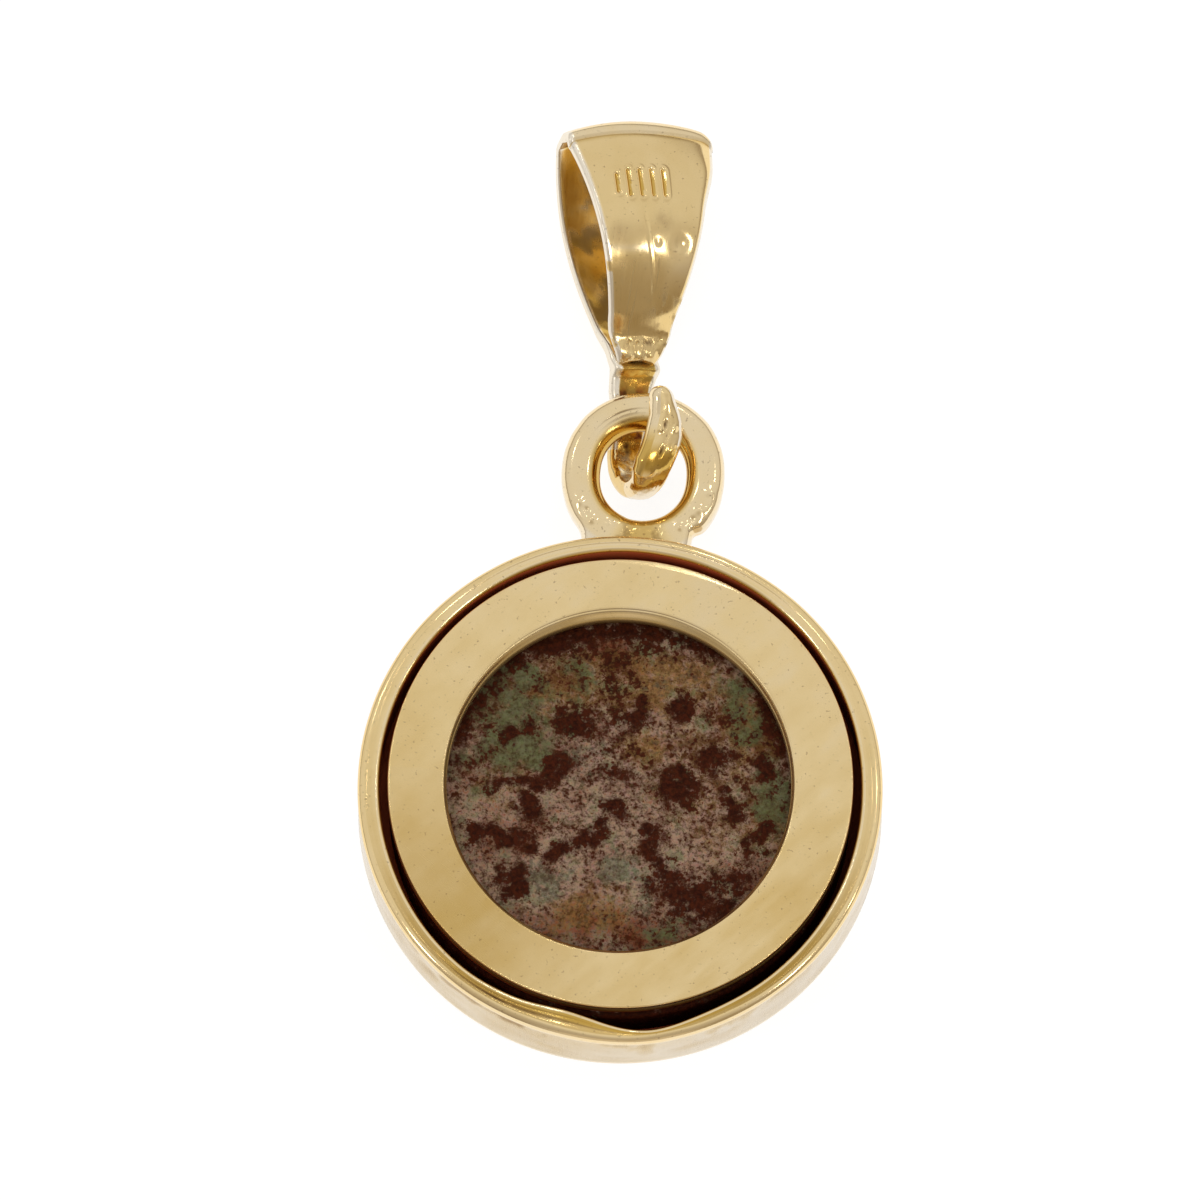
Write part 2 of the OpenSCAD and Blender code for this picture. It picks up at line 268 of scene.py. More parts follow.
def section_marks(top, bottom, corner, side):
    """Arrays that run round a rounded section once: the share of the half width, that of the half height,
    and the direction of the corner's round. Places along top and bottom are shares from 1 down to -1."""
    quarter = np.linspace(0, math.pi / 2, corner + 1)
    edge = np.linspace(1, -1, side + 2)[1:-1]
    across, up, turn = [], [], []
    for start, sx, sy, flat_x, flat_y in (
        (0, 1, 1, top, np.ones_like(top)),
        (0.5, -1, 1, -np.ones_like(edge), edge),
        (1, -1, -1, -bottom, -np.ones_like(bottom)),
        (1.5, 1, -1, np.ones_like(edge), -edge),
    ):
        across += [np.full(corner + 1, sx), flat_x]
        up += [np.full(corner + 1, sy), flat_y]
        turn += [start * math.pi + quarter, np.full(len(flat_x), (start + 0.5) * math.pi)]
    return np.concatenate(across), np.concatenate(up), np.concatenate(turn)


def rounded_section(marks, half_w, half_t, low, high):
    """Places of the section's points across and up, for each row of the path. A point is its corner's
    centre plus the corner's radius in its direction. The radius is low on the negative side, else high."""
    across, up, turn = marks
    blend = (across + 1) / 2
    radius = low * (1 - blend) + high * blend
    x = (low - half_w) * (1 - blend) + (half_w - high) * blend + radius * np.cos(turn)
    return x, up * (half_t - radius) + radius * np.sin(turn)


def put_piece(name, points, marks, material, slot, node_name, ring=True, ends_in=False):
    """Makes a piece from a grid of points in millimetres and the attributes on them.

    Each row closes round. In a ring the last row meets the first; else the middles of the first and last
    rows close the ends. The faces are turned round if six times the volume that they close in, the sum of
    the triple products of each triangle's corners, is negative. With ends_in the two ends alone face in,
    and the attributes are 0 at their middles."""
    rows, columns = points.shape[:2]
    count = rows * columns
    i = np.arange(rows if ring else rows - 1)[:, None] * columns
    i2 = (i + columns) % count
    j = np.arange(columns)
    j2 = (j + 1) % columns
    faces = [np.stack([i + j, i2 + j, i2 + j2, i + j2], axis=-1).reshape(-1, 4)]
    if not ring:
        ends = points[[0, -1]].mean(1)
        points = np.concatenate([points.reshape(-1, 3), ends])
        share = 0 if ends_in else 1
        marks = {key: np.append(value, share * value[[0, -1]].mean(1)) for key, value in marks.items()}
        last = count - columns
        order = -1 if ends_in else 1
        faces.append(np.stack([j, j2, 0 * j + count], axis=-1)[:, ::order])
        faces.append(np.stack([last + j2, last + j, 0 * j + count + 1], axis=-1)[:, ::order])
    points = points.reshape(-1, 3) * MM
    volume = sum(np.sum(points[part[:, 0]] * np.cross(points[part[:, k]], points[part[:, k + 1]]))
                 for part in faces for k in range(1, part.shape[1] - 1))
    way = 1 if volume > 0 else -1
    mesh = bpy.data.meshes.new(name)
    mesh.from_pydata(points, [], sum((part[:, ::way].tolist() for part in faces), []))
    mesh.shade_smooth()
    for mark, values in marks.items():
        layer = mesh.attributes.new(mark, "FLOAT", "POINT")
        layer.data.foreach_set("value", values.astype(np.float32).ravel())
    mesh.validate()
    mesh.materials.append(material)
    piece = bpy.data.objects.new(name, mesh)
    bpy.context.scene.collection.objects.link(piece)
    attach(piece, BODY)
    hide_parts(node_name)


# Nodes and materials. A pattern's scale is its cells to a millimetre, over the millimetre. A range's inputs
# are its value, where it goes from, low and high, and where it goes to, low and high


def node_adder(owner):
    """Clears the nodes of a material or a world and gives the function that adds a node to them."""
    owner.use_nodes = True
    tree = owner.node_tree
    tree.nodes.clear()

    def add(kind, inputs=(), out=0, stops=(), **settings):
        """Adds a node with its settings and gives the socket that comes out of it. Inputs are numbers,
        colours or the sockets that feed them, by name or number, or the first ones in order. Stops are the
        places and colours of a ramp."""
        made = tree.nodes.new("ShaderNode" + kind)
        for key, value in settings.items():
            setattr(made, key, value)
        for key, value in inputs.items() if isinstance(inputs, dict) else enumerate(inputs):
            if isinstance(value, bpy.types.NodeSocket):
                tree.links.new(value, made.inputs[key])
            else:
                made.inputs[key].default_value = value
        for k, (place, tint) in enumerate(stops):
            element = made.color_ramp.elements[k] if k < 2 else made.color_ramp.elements.new(place)
            element.position = place
            element.color = tint
        return made.outputs[out] if made.outputs else None

    return add


def polished_gold(name, colours, scratch_angle, roughness, ripple):
    """Polished 14 karat gold.

    Buffed by hand, so the eye sees mirror-like reflections that swim a little, fine straight scratches
    0.05 mm apart and tiny pits. The attribute tone is a painted reflection: -1 where the colour is painted
    whitish for the white panel and sky mirrored in it, and the surface is a little rougher there, 0 on open
    faces, 1 where it is painted deep yellow for gold mirrored in gold, and more where it is painted amber.
    The attribute grime is 1 where dry soiling lies and also where shade is painted, in gaps, creases and
    under other parts; there it is no metal, and it is painted red-brown shade where tone is near 2."""
    material = bpy.data.materials.new(name)
    add = node_adder(material)
    place = add("TexCoord", out="Object")
    turned = add("Mapping", {"Vector": place, "Rotation": (0, 0, scratch_angle)})
    streaks = add("Mapping", {"Vector": turned, "Scale": (20 / MM, 0.9 / MM, 0.9 / MM)})
    scratch = add("TexNoise", {"Vector": streaks, "Scale": 1, "Detail": 2})
    swim = add("TexNoise", {"Vector": place, "Scale": 0.42 / MM, "Detail": 1.5})
    mottle = add("TexNoise", {"Vector": place, "Scale": 0.9 / MM, "Detail": 3})
    pits = add("TexNoise", {"Vector": place, "Scale": 9 / MM, "Detail": 2})
    grime = add("Attribute", out="Fac", attribute_name="grime")
    tone = add("Attribute", out="Fac", attribute_name="tone")
    uneven = add("MapRange", (mottle, 0, 1, -0.22, 0.22))
    shifted = add("Math", (tone, uneven), operation="ADD")
    warmth = add("MapRange", (shifted, -1, 1.6))
    # Painted reflection: the colour runs with tone from whitish, for the panel and sky mirrored in the gold,
    # through gold to deep yellow and amber, for gold mirrored in gold
    metal = add("ValToRGB", {"Fac": warmth}, stops=[
        (0, colours.pale), (1, colours.amber), (0.385, colours.gold), (0.77, colours.deep)])
    pitted = add("ValToRGB", {"Fac": pits}, stops=[(0.66, (0, 0, 0, 1)), (0.74, (1, 1, 1, 1))])
    pitted = add("Math", (pitted, 0.4), operation="MULTIPLY")
    # The grime mark holds both dry soiling and painted shade; where it is high the colour turns dark and the
    # metal goes
    grime_shade_and_pits = add("Math", (grime, pitted), operation="MAXIMUM")
    # From tone 1.2 to 2 the dark colour turns from brown grime to the red-brown painted shade of the gap
    deep = add("MapRange", (tone, 1.2, 2))
    dirt_and_shade = add("Mix", {0: deep, 6: colours.grime, 7: colours.compound}, 2, data_type="RGBA")
    paint = add("Mix", {0: grime_shade_and_pits, 6: metal, 7: dirt_and_shade}, 2, data_type="RGBA")
    clean = add("Math", (1, grime), operation="SUBTRACT", use_clamp=True)
    scratched = add("MapRange", (scratch, 0.35, 0.75, roughness, roughness + 0.07))
    dry = add("MapRange", (grime, 0, 1, 0, 0.5))
    haze = add("MapRange", (tone, -0.6, -1.2, 0, 0.3))
    dull = add("Math", (haze, dry), operation="ADD")
    rough = add("Math", (scratched, dull), operation="ADD")
    low = add("Bump", {"Height": swim, "Strength": 1, "Distance": ripple * MM})
    fine = add("Bump", {"Height": scratch, "Normal": low, "Strength": 0.6, "Distance": 0.0006 * MM})
    shader = add("BsdfPrincipled", {"Base Color": paint, "Metallic": clean, "Roughness": rough,
                                    "Specular IOR Level": 0.06, "Normal": fine})
    add("OutputMaterial", {"Surface": shader})
    return material


def bronze_patina(name, colours):
    """Struck bronze that has lain in the ground.

    Dark brown worn metal on the raised places, and between them a dry crust of pinkish grey, green, olive,
    teal and rust coloured grains 0.1 to 0.3 mm wide with brown earth between them. The same dark brown is
    painted near the upper rim as shadow under the back ring's edge. The eye reads it as rough and matt, with
    a dull gleam on the dark relief."""
    material = bpy.data.materials.new(name)
    add = node_adder(material)
    place = add("TexCoord", out="Object")
    grain = add("TexNoise", {"Vector": place, "Scale": 2.3 / MM, "Detail": 9, "Roughness": 0.75})
    flecks = add("TexNoise", {"Vector": place, "Scale": 6.5 / MM, "Detail": 7, "Roughness": 0.75})
    drift = add("TexNoise", {"Vector": place, "Scale": 0.9 / MM, "Detail": 7, "Roughness": 0.7})
    clumps = add("MapRange", (drift, 0.35, 0.65, -0.1, 0.1))
    grains = add("Math", (flecks, clumps), operation="ADD")
    earthy = add("MapRange", (grains, 0.4, 0.6))
    paint = add("Mix", {0: earthy, 6: colours.earth, 7: colours.crust}, 2, data_type="RGBA")
    for key, source in (("rust", flecks), ("olive", grain), ("green", drift), ("teal", grain)):
        tint = getattr(colours, key)
        field = add("Attribute", out="Fac", attribute_name=key)
        ragged = add("MapRange", (source, 0.38, 0.62, -0.5, 0.5))
        pushed = add("Math", (field, ragged), operation="ADD")
        mask = add("MapRange", (pushed, 0.2, 0.7, 0, 0.85))
        tinted = add("Mix", {0: earthy, 6: colours.earth, 7: tint}, 2, data_type="RGBA")
        tinted = add("Mix", {0: 0.35, 6: tinted, 7: tint}, 2, data_type="RGBA")
        paint = add("Mix", {0: mask, 6: paint, 7: tinted}, 2, data_type="RGBA")
    # The dark mark: raised worn relief, and painted shadow near the upper rim
    raised_and_shaded = add("Attribute", out="Fac", attribute_name="dark")
    for source, strength in ((grain, 0.5), (flecks, 0.4)):
        ragged = add("MapRange", (source, 0.36, 0.64, -strength, strength))
        raised_and_shaded = add("Math", (raised_and_shaded, ragged), operation="ADD")
    mask = add("MapRange", (raised_and_shaded, 0.36, 0.68))
    rubbed = add("MapRange", (flecks, 0.42, 0.6))
    worn = add("Mix", {0: rubbed, 6: colours.bronze, 7: colours.earth}, 2, data_type="RGBA")
    paint = add("Mix", {0: mask, 6: paint, 7: worn}, 2, data_type="RGBA")
    hue = flecks.node.outputs["Color"]
    paint = add("Mix", {0: 0.4, 6: paint, 7: hue}, 2, data_type="RGBA", blend_type="OVERLAY")
    rough = add("MapRange", (mask, 0, 1, 0.9, 0.6))
    crumb = add("Bump", {"Height": grains, "Strength": 0.8, "Distance": 0.02 * MM})
    shader = add("BsdfPrincipled", {"Base Color": paint, "Metallic": 0, "Roughness": rough,
                                    "Specular IOR Level": 0.04, "Normal": crumb})
    add("OutputMaterial", {"Surface": shader})
    return material


def opal_panel(name, tint, glow):
    """Opal acrylic lit from below, so it stays white right up to the metal, with the faintest shadow."""
    material = bpy.data.materials.new(name)
    add = node_adder(material)
    shader = add("BsdfPrincipled", {"Base Color": tint, "Roughness": 0.9, "Specular IOR Level": 0,
                                    "Emission Color": (1, 1, 1, 1), "Emission Strength": glow})
    add("OutputMaterial", {"Surface": shader})
    return material


# Shapes, with all lengths in mm

# Rows of points round each turned piece, round the coin and along the bail
BEZEL_ROWS, LOOP_ROWS, RING_ROWS, COIN_COLUMNS, BAIL_ROWS = 720, 480, 480, 360, 520

# Inner edge of the back rim: angle in degrees from +X, distance from the middle
RIM_INNER = (
    (-176, 7.8), (-156, 7.8), (-141, 7.84), (-124, 7.86), (-110, 7.76), (-102, 7.62), (-96, 7.64),
    (-89, 7.86), (-82, 8.06), (-76, 8.08), (-70, 7.98), (-62, 7.93), (-50, 7.92), (-26, 7.86), (4, 7.81),
    (49, 7.88), (94, 7.95), (139, 7.85),
)
# Height of the back rim's crest below its highest place: angle in degrees, drop
RIM_DROP = (
    (-180, 0.02), (-130, 0), (-108, 0), (-97, 0.06), (-88, 0.24), (-80, 0.36), (-73, 0.26),
    (-62, 0.12), (-45, 0.04), (0, 0), (60, 0.03), (95, 0), (140, 0.02),
)
# Rounding at the foot of the side wall
FOOT_ROUND = 0.26


def bezel_surface(s):
    """Cup with a lip at the front and a burnished rim at the back.

    One closed section is turned round the z axis. Its rim reaches in to RIM_INNER's distance and its crest
    lies below the top by RIM_DROP. Returns the points and their grime and tone, which hold soiling, painted
    shade and painted reflection."""
    turn, deg = round_turn(BEZEL_ROWS)
    inner = periodic(deg, RIM_INNER)
    top = s.height - periodic(deg, RIM_DROP) - 0.01 * (1 + clouds(turn * 6, 0, 2.2, 5))
    outer = s.outer_d / 2
    bore, opening, lip, ri = outer - s.wall, s.front_opening_d / 2, s.lip, s.inner_round
    ro = s.outer_round * (1 + 0.15 * clouds(turn * 6, 0, 1.5, 11))
    lower = bump(deg, -90, 62)
    parts = []

    def run(*values):
        """Adds points of the section: their distance out, height, grime with painted shade, and tone of
        painted reflection.
        """
        parts.append(np.stack(np.broadcast_arrays(*values, turn)[:4]))

    # Front lip, from its opening out to the wall
    run(np.linspace(opening + 0.05, outer - FOOT_ROUND, 8), 0, 0, 0)
    a = np.linspace(-math.pi / 2, 0, 9)[1:]
    run(outer + FOOT_ROUND * (np.cos(a) - 1), FOOT_ROUND * (1 + np.sin(a)), 0, -0.7)
    # Side wall: painted whitish low down, where it mirrors the white panel; painted darker by a thin grime
    # all over and more to the lower left and right; tan streaks, darker and deeper yellow; and painted
    # shade, deeper in colour, under the rim at the front
    up = np.linspace(0, 1, 16)[1:-1]
    wave = clouds(turn * 6, up * 3, 1.1, 12)
    tan_streaks = np.clip(clouds(turn * 6, up * 1.4, 0.6, 48) * 2.4 + 0.15, 0, 1) * ramp(0.15, 0.8, up)
    tan_streaks *= bells(deg, (1, -112, 28), (0.5, -55, 25))
    run(outer - 0.012 * (1 + wave), FOOT_ROUND + (top - ro - FOOT_ROUND) * up,
        0.2 + 0.08 * wave + bells(deg, (0.04, -120, 30), (0.02, -55, 30)) + 0.2 * tan_streaks,
        0.3 * wave - 0.6 + 0.4 * bump(deg, -115, 32) + 1.3 * tan_streaks + 0.2 * lower * ramp(0.45, 1, up))
    # Rounding from the wall to the rim's face, painted whitish low down at the front, a painted reflection
    a = np.linspace(0, math.pi / 2, 11)
    run(outer + ro * (np.cos(a) - 1), top + ro * (np.sin(a) - 1), 0,
        0.1 - 0.35 * lower * (1 - ramp(0.7, 1, a / math.pi * 2)))
    # Rim's face, with a crease where the metal was folded over at the lower left and a ragged dark line of
    # painted shade along it; painted darker to the lower right and lower left; its colour, a painted
    # reflection, varies round it and deepens towards the inner edge at the front
    way = np.linspace(0, 1, 26)[1:-1]
    folded = bump(deg, -112, 18)
    crease = bells(way, (0.06, 0.4, 0.1), (0.03, 0.72, 0.07)) * folded
    crease += 0.016 * bump(way, 0.24, 0.05) * (1 - 0.8 * bump(deg, -80, 25))
    ragged = 0.6 * bump(way, 0.42, 0.07) * folded * (1 + clouds(turn * 30, way * 6, 1, 49))
    warm = 0.2 + bells(deg, (0.45, -128, 24), (0.6, -45, 26), (0.3, -85, 20), (-0.45, 90, 50))
    run(outer - ro + (inner + ri - outer + ro) * way, top - crease,
        ragged + bells(deg, (0.3, -45, 26), (0.22, -130, 24)),
        warm * (1 - 0.9 * (1 - lower) * ramp(0.5, 0.9, way)) + 0.5 * lower * ramp(0.3, 0.7, way))
    # Rounding over the inner edge and down into the gap, where the colour is painted shade: dark, and
    # red-brown where gold mirrors gold many times
    a = np.linspace(math.pi / 2, math.pi, 9)
    run(inner + ri * (1 + np.cos(a)), top + ri * (np.sin(a) - 1), ramp(0.86, 1, a / math.pi),
        -0.2 + 2.2 * ramp(0.6, 0.95, a / math.pi))
    depth = (top - ri - lip) * np.linspace(0, 1, 14)[1:]
    # Painted shade in the gap: red-brown, and browner towards the lower right
    gap_shade_tone = 2 - 0.8 * bump(deg, -40, 60)
    run(inner + (bore - inner) * ramp(0, 0.5, depth), top - ri - depth, 1, gap_shade_tone)
    # Inside of the lip, painted shade as well, and the edge of the front opening
    run(np.linspace(bore, opening, 8)[1:], lip, 1, gap_shade_tone)
    run(opening, np.linspace(lip, 0.05, 5)[1:], 0, 0)
    r, z, grime, tone = np.concatenate(parts, axis=2)
    return np.stack([r * np.cos(turn), r * np.sin(turn), z], axis=-1), {"grime": grime, "tone": tone}


# Rounding of the loop's wire at the hole and outside
WIRE_ROUNDS = (0.48, 0.36)
# Small lumps of solder on the loop's foot: x, y, radius and height
LUMPS = (
    (-1.98, 9.69, 0.16, 0.05), (-1.55, 9.1, 0.14, 0.06), (2.2, 10.3, 0.2, 0.05), (1.92, 9.66, 0.16, 0.06),
    (0.62, 8.81, 0.1, 0.05), (1.32, 9.03, 0.13, 0.06), (-1, 9, 0.14, 0.04), (-0.3, 8.75, 0.12, 0.05),
    (1.7, 9.3, 0.12, -0.06), (-1.75, 9.4, 0.1, -0.05),
)


def loop_surface(s):
    """Loop with a rounded section and a solder foot that runs into the bezel's wall.

    The path is the hole's outline, a circle stretched along y. The section reaches out from it by the wire's
    width, and at the foot by more, so the solder flares out on the left and has a nick on the right."""
    turn, deg = round_turn(LOOP_ROWS)
    reach = s.wire_w + bells(deg, (0.62, -121, 9), (0.44, -62, 9), (-0.14, -45, 5))
    half_w = (reach + 0.02 * clouds(turn * 4, 0, 1, 3)) / 2
    half_t = s.wire_t / 2 * (1 - 0.06 * bump(deg, -90, 30))
    marks = section_marks(np.linspace(1, -1, 24)[1:-1], np.linspace(1, -1, 12)[1:-1], 9, 5)
    x, y = rounded_section(marks, half_w, half_t, *WIRE_ROUNDS)
    x = x + half_w
    y = np.where(y > 0, y - 0.05 * (x / half_w - 1) ** 2, y)
    px = (s.hole_d / 2 + x) * np.cos(turn)
    py = (s.hole_d / 2 + x) * np.sin(turn) + s.stretch / 2 * np.tanh(4 * np.sin(turn))
    y = y + 0.06 * clouds(px, py, 0.55, 21) * np.exp(-((np.abs(deg + 90) / 34) ** 4)) * (y > 0)
    for cx, cy, size, rise in LUMPS:
        y = y + (y > 0) * rise * spot(px, py + s.centre_y, cx, cy, size)
    up = (y > 0) * 1
    rubbed = bells(x, (1, 0.46, 0.03), (1, 0.62, 0.025), (1, 0.3, 0.04)) * bump(deg, 116, 17)
    points = np.stack([px, py + s.centre_y, y + s.centre_z - up * 0.03 * rubbed], axis=-1)
    # Soiling, painted shade and painted reflection: dark specks in the solder web, dark rubbed lines,
    # painted shade under the hook and on the underside by the hole, colour painted deep round the hole and
    # on the web, and painted whitish at the outer edge
    speckle = np.clip(clouds(px, py, 0.3, 22) * 1.8 - 0.2, 0, 1)
    web = np.exp(-((np.abs(deg + 88) / 22) ** 4))
    shade_under_hook = bump(deg, 96, 22) * ramp(0.75, 0.35, x)
    grime = up * ((0.5 * web + 0.6 * shade_under_hook) * speckle + 0.7 * rubbed)
    grime += 0.25 * (y < -0.1) * ramp(0.3, 0, x)
    tone = np.maximum(ramp(0.44, 0.24, x) * 1.2, 0.95 * web * up) - 0.22 * up
    tone = tone - 0.4 * ramp(s.wire_w - 0.15, s.wire_w, x) * (1 - web)
    return points, {"grime": grime, "tone": tone}


# Profile of the ring's chamfer: share of its width, share of its depth, grime of the lines round the hole,
# which are painted shade, strongest at the top
CHAMFER = (
    (1, 0, 0.1), (0.92, 0.12, 0.75), (0.84, 0.14, 0), (0.76, 0.1, 0), (0.68, 0.22, 0.6),
    (0.6, 0.3, 0), (0.42, 0.52, 0), (0.26, 0.8, 0.1), (0.12, 0.96, 0.25), (0, 1.05, 0.3),
)
# Rounding of the ring's outer edges, and how far its hole lies off the middle, to the left and down
RING_EDGE = 0.07
HOLE_OFF = (0.05, 0.035)


def ring_surface(s, low, high):
    """Flat ring with a chamfer round its hole and softly rounded outer edges, turned round the z axis.

    The hole lies a little off the middle of the outside, so the distance out is blended between the two. The
    face is slightly domed, by the sine of the share of the way across, and slopes down at its outer edge at
    the top, where it catches the light."""
    turn, deg = round_turn(RING_ROWS)
    outer, hole = (high.x - low.x) / MM / 2, s.ring_hole_d / 2
    z0, z1 = low.z / MM, high.z / MM
    cut = s.ring_chamfer * (1 + 1.2 * bump(deg, 92, 48))
    a = np.linspace(0, math.pi / 2, 7)
    way = np.linspace(0, 1, 30)[1:-1]
    width, drop, dark = np.array(CHAMFER).T
    edge = outer - RING_EDGE
    parts = (
        (np.linspace(hole, edge, 6), z0),
        (edge + RING_EDGE * np.sin(a)[1:], z0 + RING_EDGE * (1 - np.cos(a))[1:]),
        (edge + RING_EDGE * np.cos(a), z1 + RING_EDGE * (np.sin(a) - 1)),
        (edge + (hole + cut - edge) * way**1.3, z1),
        (hole + cut * width, z1 - np.minimum(cut, 0.2) * drop),
    )
    r, z = np.concatenate([np.stack(np.broadcast_arrays(*part, turn)[:2]) for part in parts], axis=2)
    near_hole = (outer - r) / (outer - hole)
    dome = 0.018 * np.sin(math.pi * np.clip(1 - near_hole, 0, 1))
    z = np.where(z > z1 - 1e-6, z - 0.018 + dome - 0.008 * bump(r - hole - cut, 0.05, 0.04), z)
    z = z - 0.21 * np.clip(r - outer + 0.22 * bump(deg, 80, 20), 0, None) * (z > z1 - 0.1)
    above = z > z1 - 0.1
    x = r * np.cos(turn) - HOLE_OFF[0] * near_hole
    y = r * np.sin(turn) - HOLE_OFF[1] * near_hole + (low.y + high.y) / 2 / MM
    # Painted shade and painted reflection: grime painted down the hole's wall, on the outer side in the gap,
    # in the chamfer's lines and towards the lower left, with faint random soiling; colour painted deeper to
    # the lower left, the lower right, the left and at the top of the hole, red-brown on the outer side, with
    # random clouds and streaks
    upper = bump(deg, 95, 60)
    side = (r > outer - 0.03) & ~above
    grime = 0.4 * ramp(0.3, 0, np.abs(r - hole)) * (z < z1 - 0.3) + side
    grime[:, -len(dark) :] += dark * upper
    grime += (0.1 * bump(deg, -138, 36) + 0.025 * (1 + clouds(x, y, 1.3, 45))) * above
    left = bells(deg, (0.62, -138, 36), (0.3, -38, 34), (0.25, 175, 30))
    streaks = clouds((x + y) * 0.4, (x - y) * 1.6, 1, 47) * (0.14 + 0.3 * bump(deg, -50, 40))
    tone = np.where(side, 2 - 0.8 * bump(deg, -40, 60), left + 0.12 * clouds(x, y, 2.2, 41) + streaks)
    tone = tone + 0.5 * upper * (r < hole + 0.05)
    return np.stack([x, y, z], axis=-1), {"grime": np.clip(grime, 0, 1), "tone": tone}


# Raised dark places of the coin, in thousandths of its radius, seen from the back: across, up, radius
DOTS = (
    (-190, 345, 85), (70, 330, 55), (70, 420, 40), (260, 390, 60), (-270, 130, 60),
    (-30, -75, 60), (270, 35, 95), (410, 140, 70), (-420, 300, 40), (-500, 270, 30),
    (-390, -60, 60), (-470, -385, 75), (600, 150, 60),
)
# The same for bars: across and up at one end, across and up at the other, width
BARS = (
    (-560, 35, -310, 60, 50), (-640, -150, -390, -235, 80), (-300, -260, -100, -160, 70),
    (130, -170, 160, -360, 70), (200, -390, 280, -500, 120), (300, -440, 500, -400, 140),
    (460, 0, 530, -100, 50), (540, -220, 660, -170, 50),
)
# Fields of colour, in hundredths: across, up, half width, half height, strength
FIELDS = {
    "olive": (
        (0, 52, 50, 17, 65), (-50, 10, 20, 20, 40), (50, 0, 25, 30, 40),
        (-25, 45, 22, 15, 70), (19, 50, 34, 15, 80), (11, 19, 10, 9, 80),
        (-13, -53, 24, 14, 55), (58, 28, 20, 22, 70), (60, -12, 14, 18, 60),
        (-50, 30, 20, 24, 40), (30, 25, 16, 12, 40), (45, 5, 30, 20, 50),
    ),
    "green": (
        (-45, 22, 20, 17, 100), (-52, 42, 22, 17, 85), (-22, 52, 10, 9, 50),
        (46, 44, 12, 12, 60), (64, 0, 10, 18, 80), (-62, 12, 12, 10, 50),
        (62, 25, 14, 14, 60), (25, -62, 20, 7, 50),
    ),
    "teal": (
        (-34, -38, 13, 8, 90), (-3, -33, 10, 7, 80), (10, -48, 7, 10, 50),
        (-18, 16, 10, 10, 30),
    ),
    "rust": (
        (-62, 0, 12, 12, 20), (-20, -60, 30, 12, 50), (0, 63, 14, 10, 60),
        (10, -62, 20, 10, 60), (-55, -20, 20, 10, 35), (55, -40, 20, 10, 40),
        (62, 42, 12, 20, 40), (-40, -5, 20, 8, 20),
    ),
    # Dark fields along the upper edge, at (-64, 33), (-10, 68) and (66, 30), are painted shadow under the
    # back ring's edge; the others are dark places on the coin
    "dark": (
        (-64, 33, 12, 30, 45), (66, 30, 12, 34, 50), (-10, 68, 50, 10, 55),
        (-66, -20, 10, 16, 35), (36, -54, 22, 10, 70), (16, -38, 7, 12, 60),
        (-5, 40, 10, 14, 30), (20, 10, 9, 6, 35), (-2, 17, 13, 22, 34),
        (50, -2, 14, 16, 42), (-2, 53, 10, 10, 50), (45, 30, 20, 16, 30),
        (-30, 55, 20, 10, 35), (55, -28, 10, 6, 40), (-20, -68, 40, 6, 35),
    ),
}
# Rounding of the coin's edge, and the distance out to which its back has close rings of points
COIN_EDGE = 0.15
COIN_SEEN = 5.9


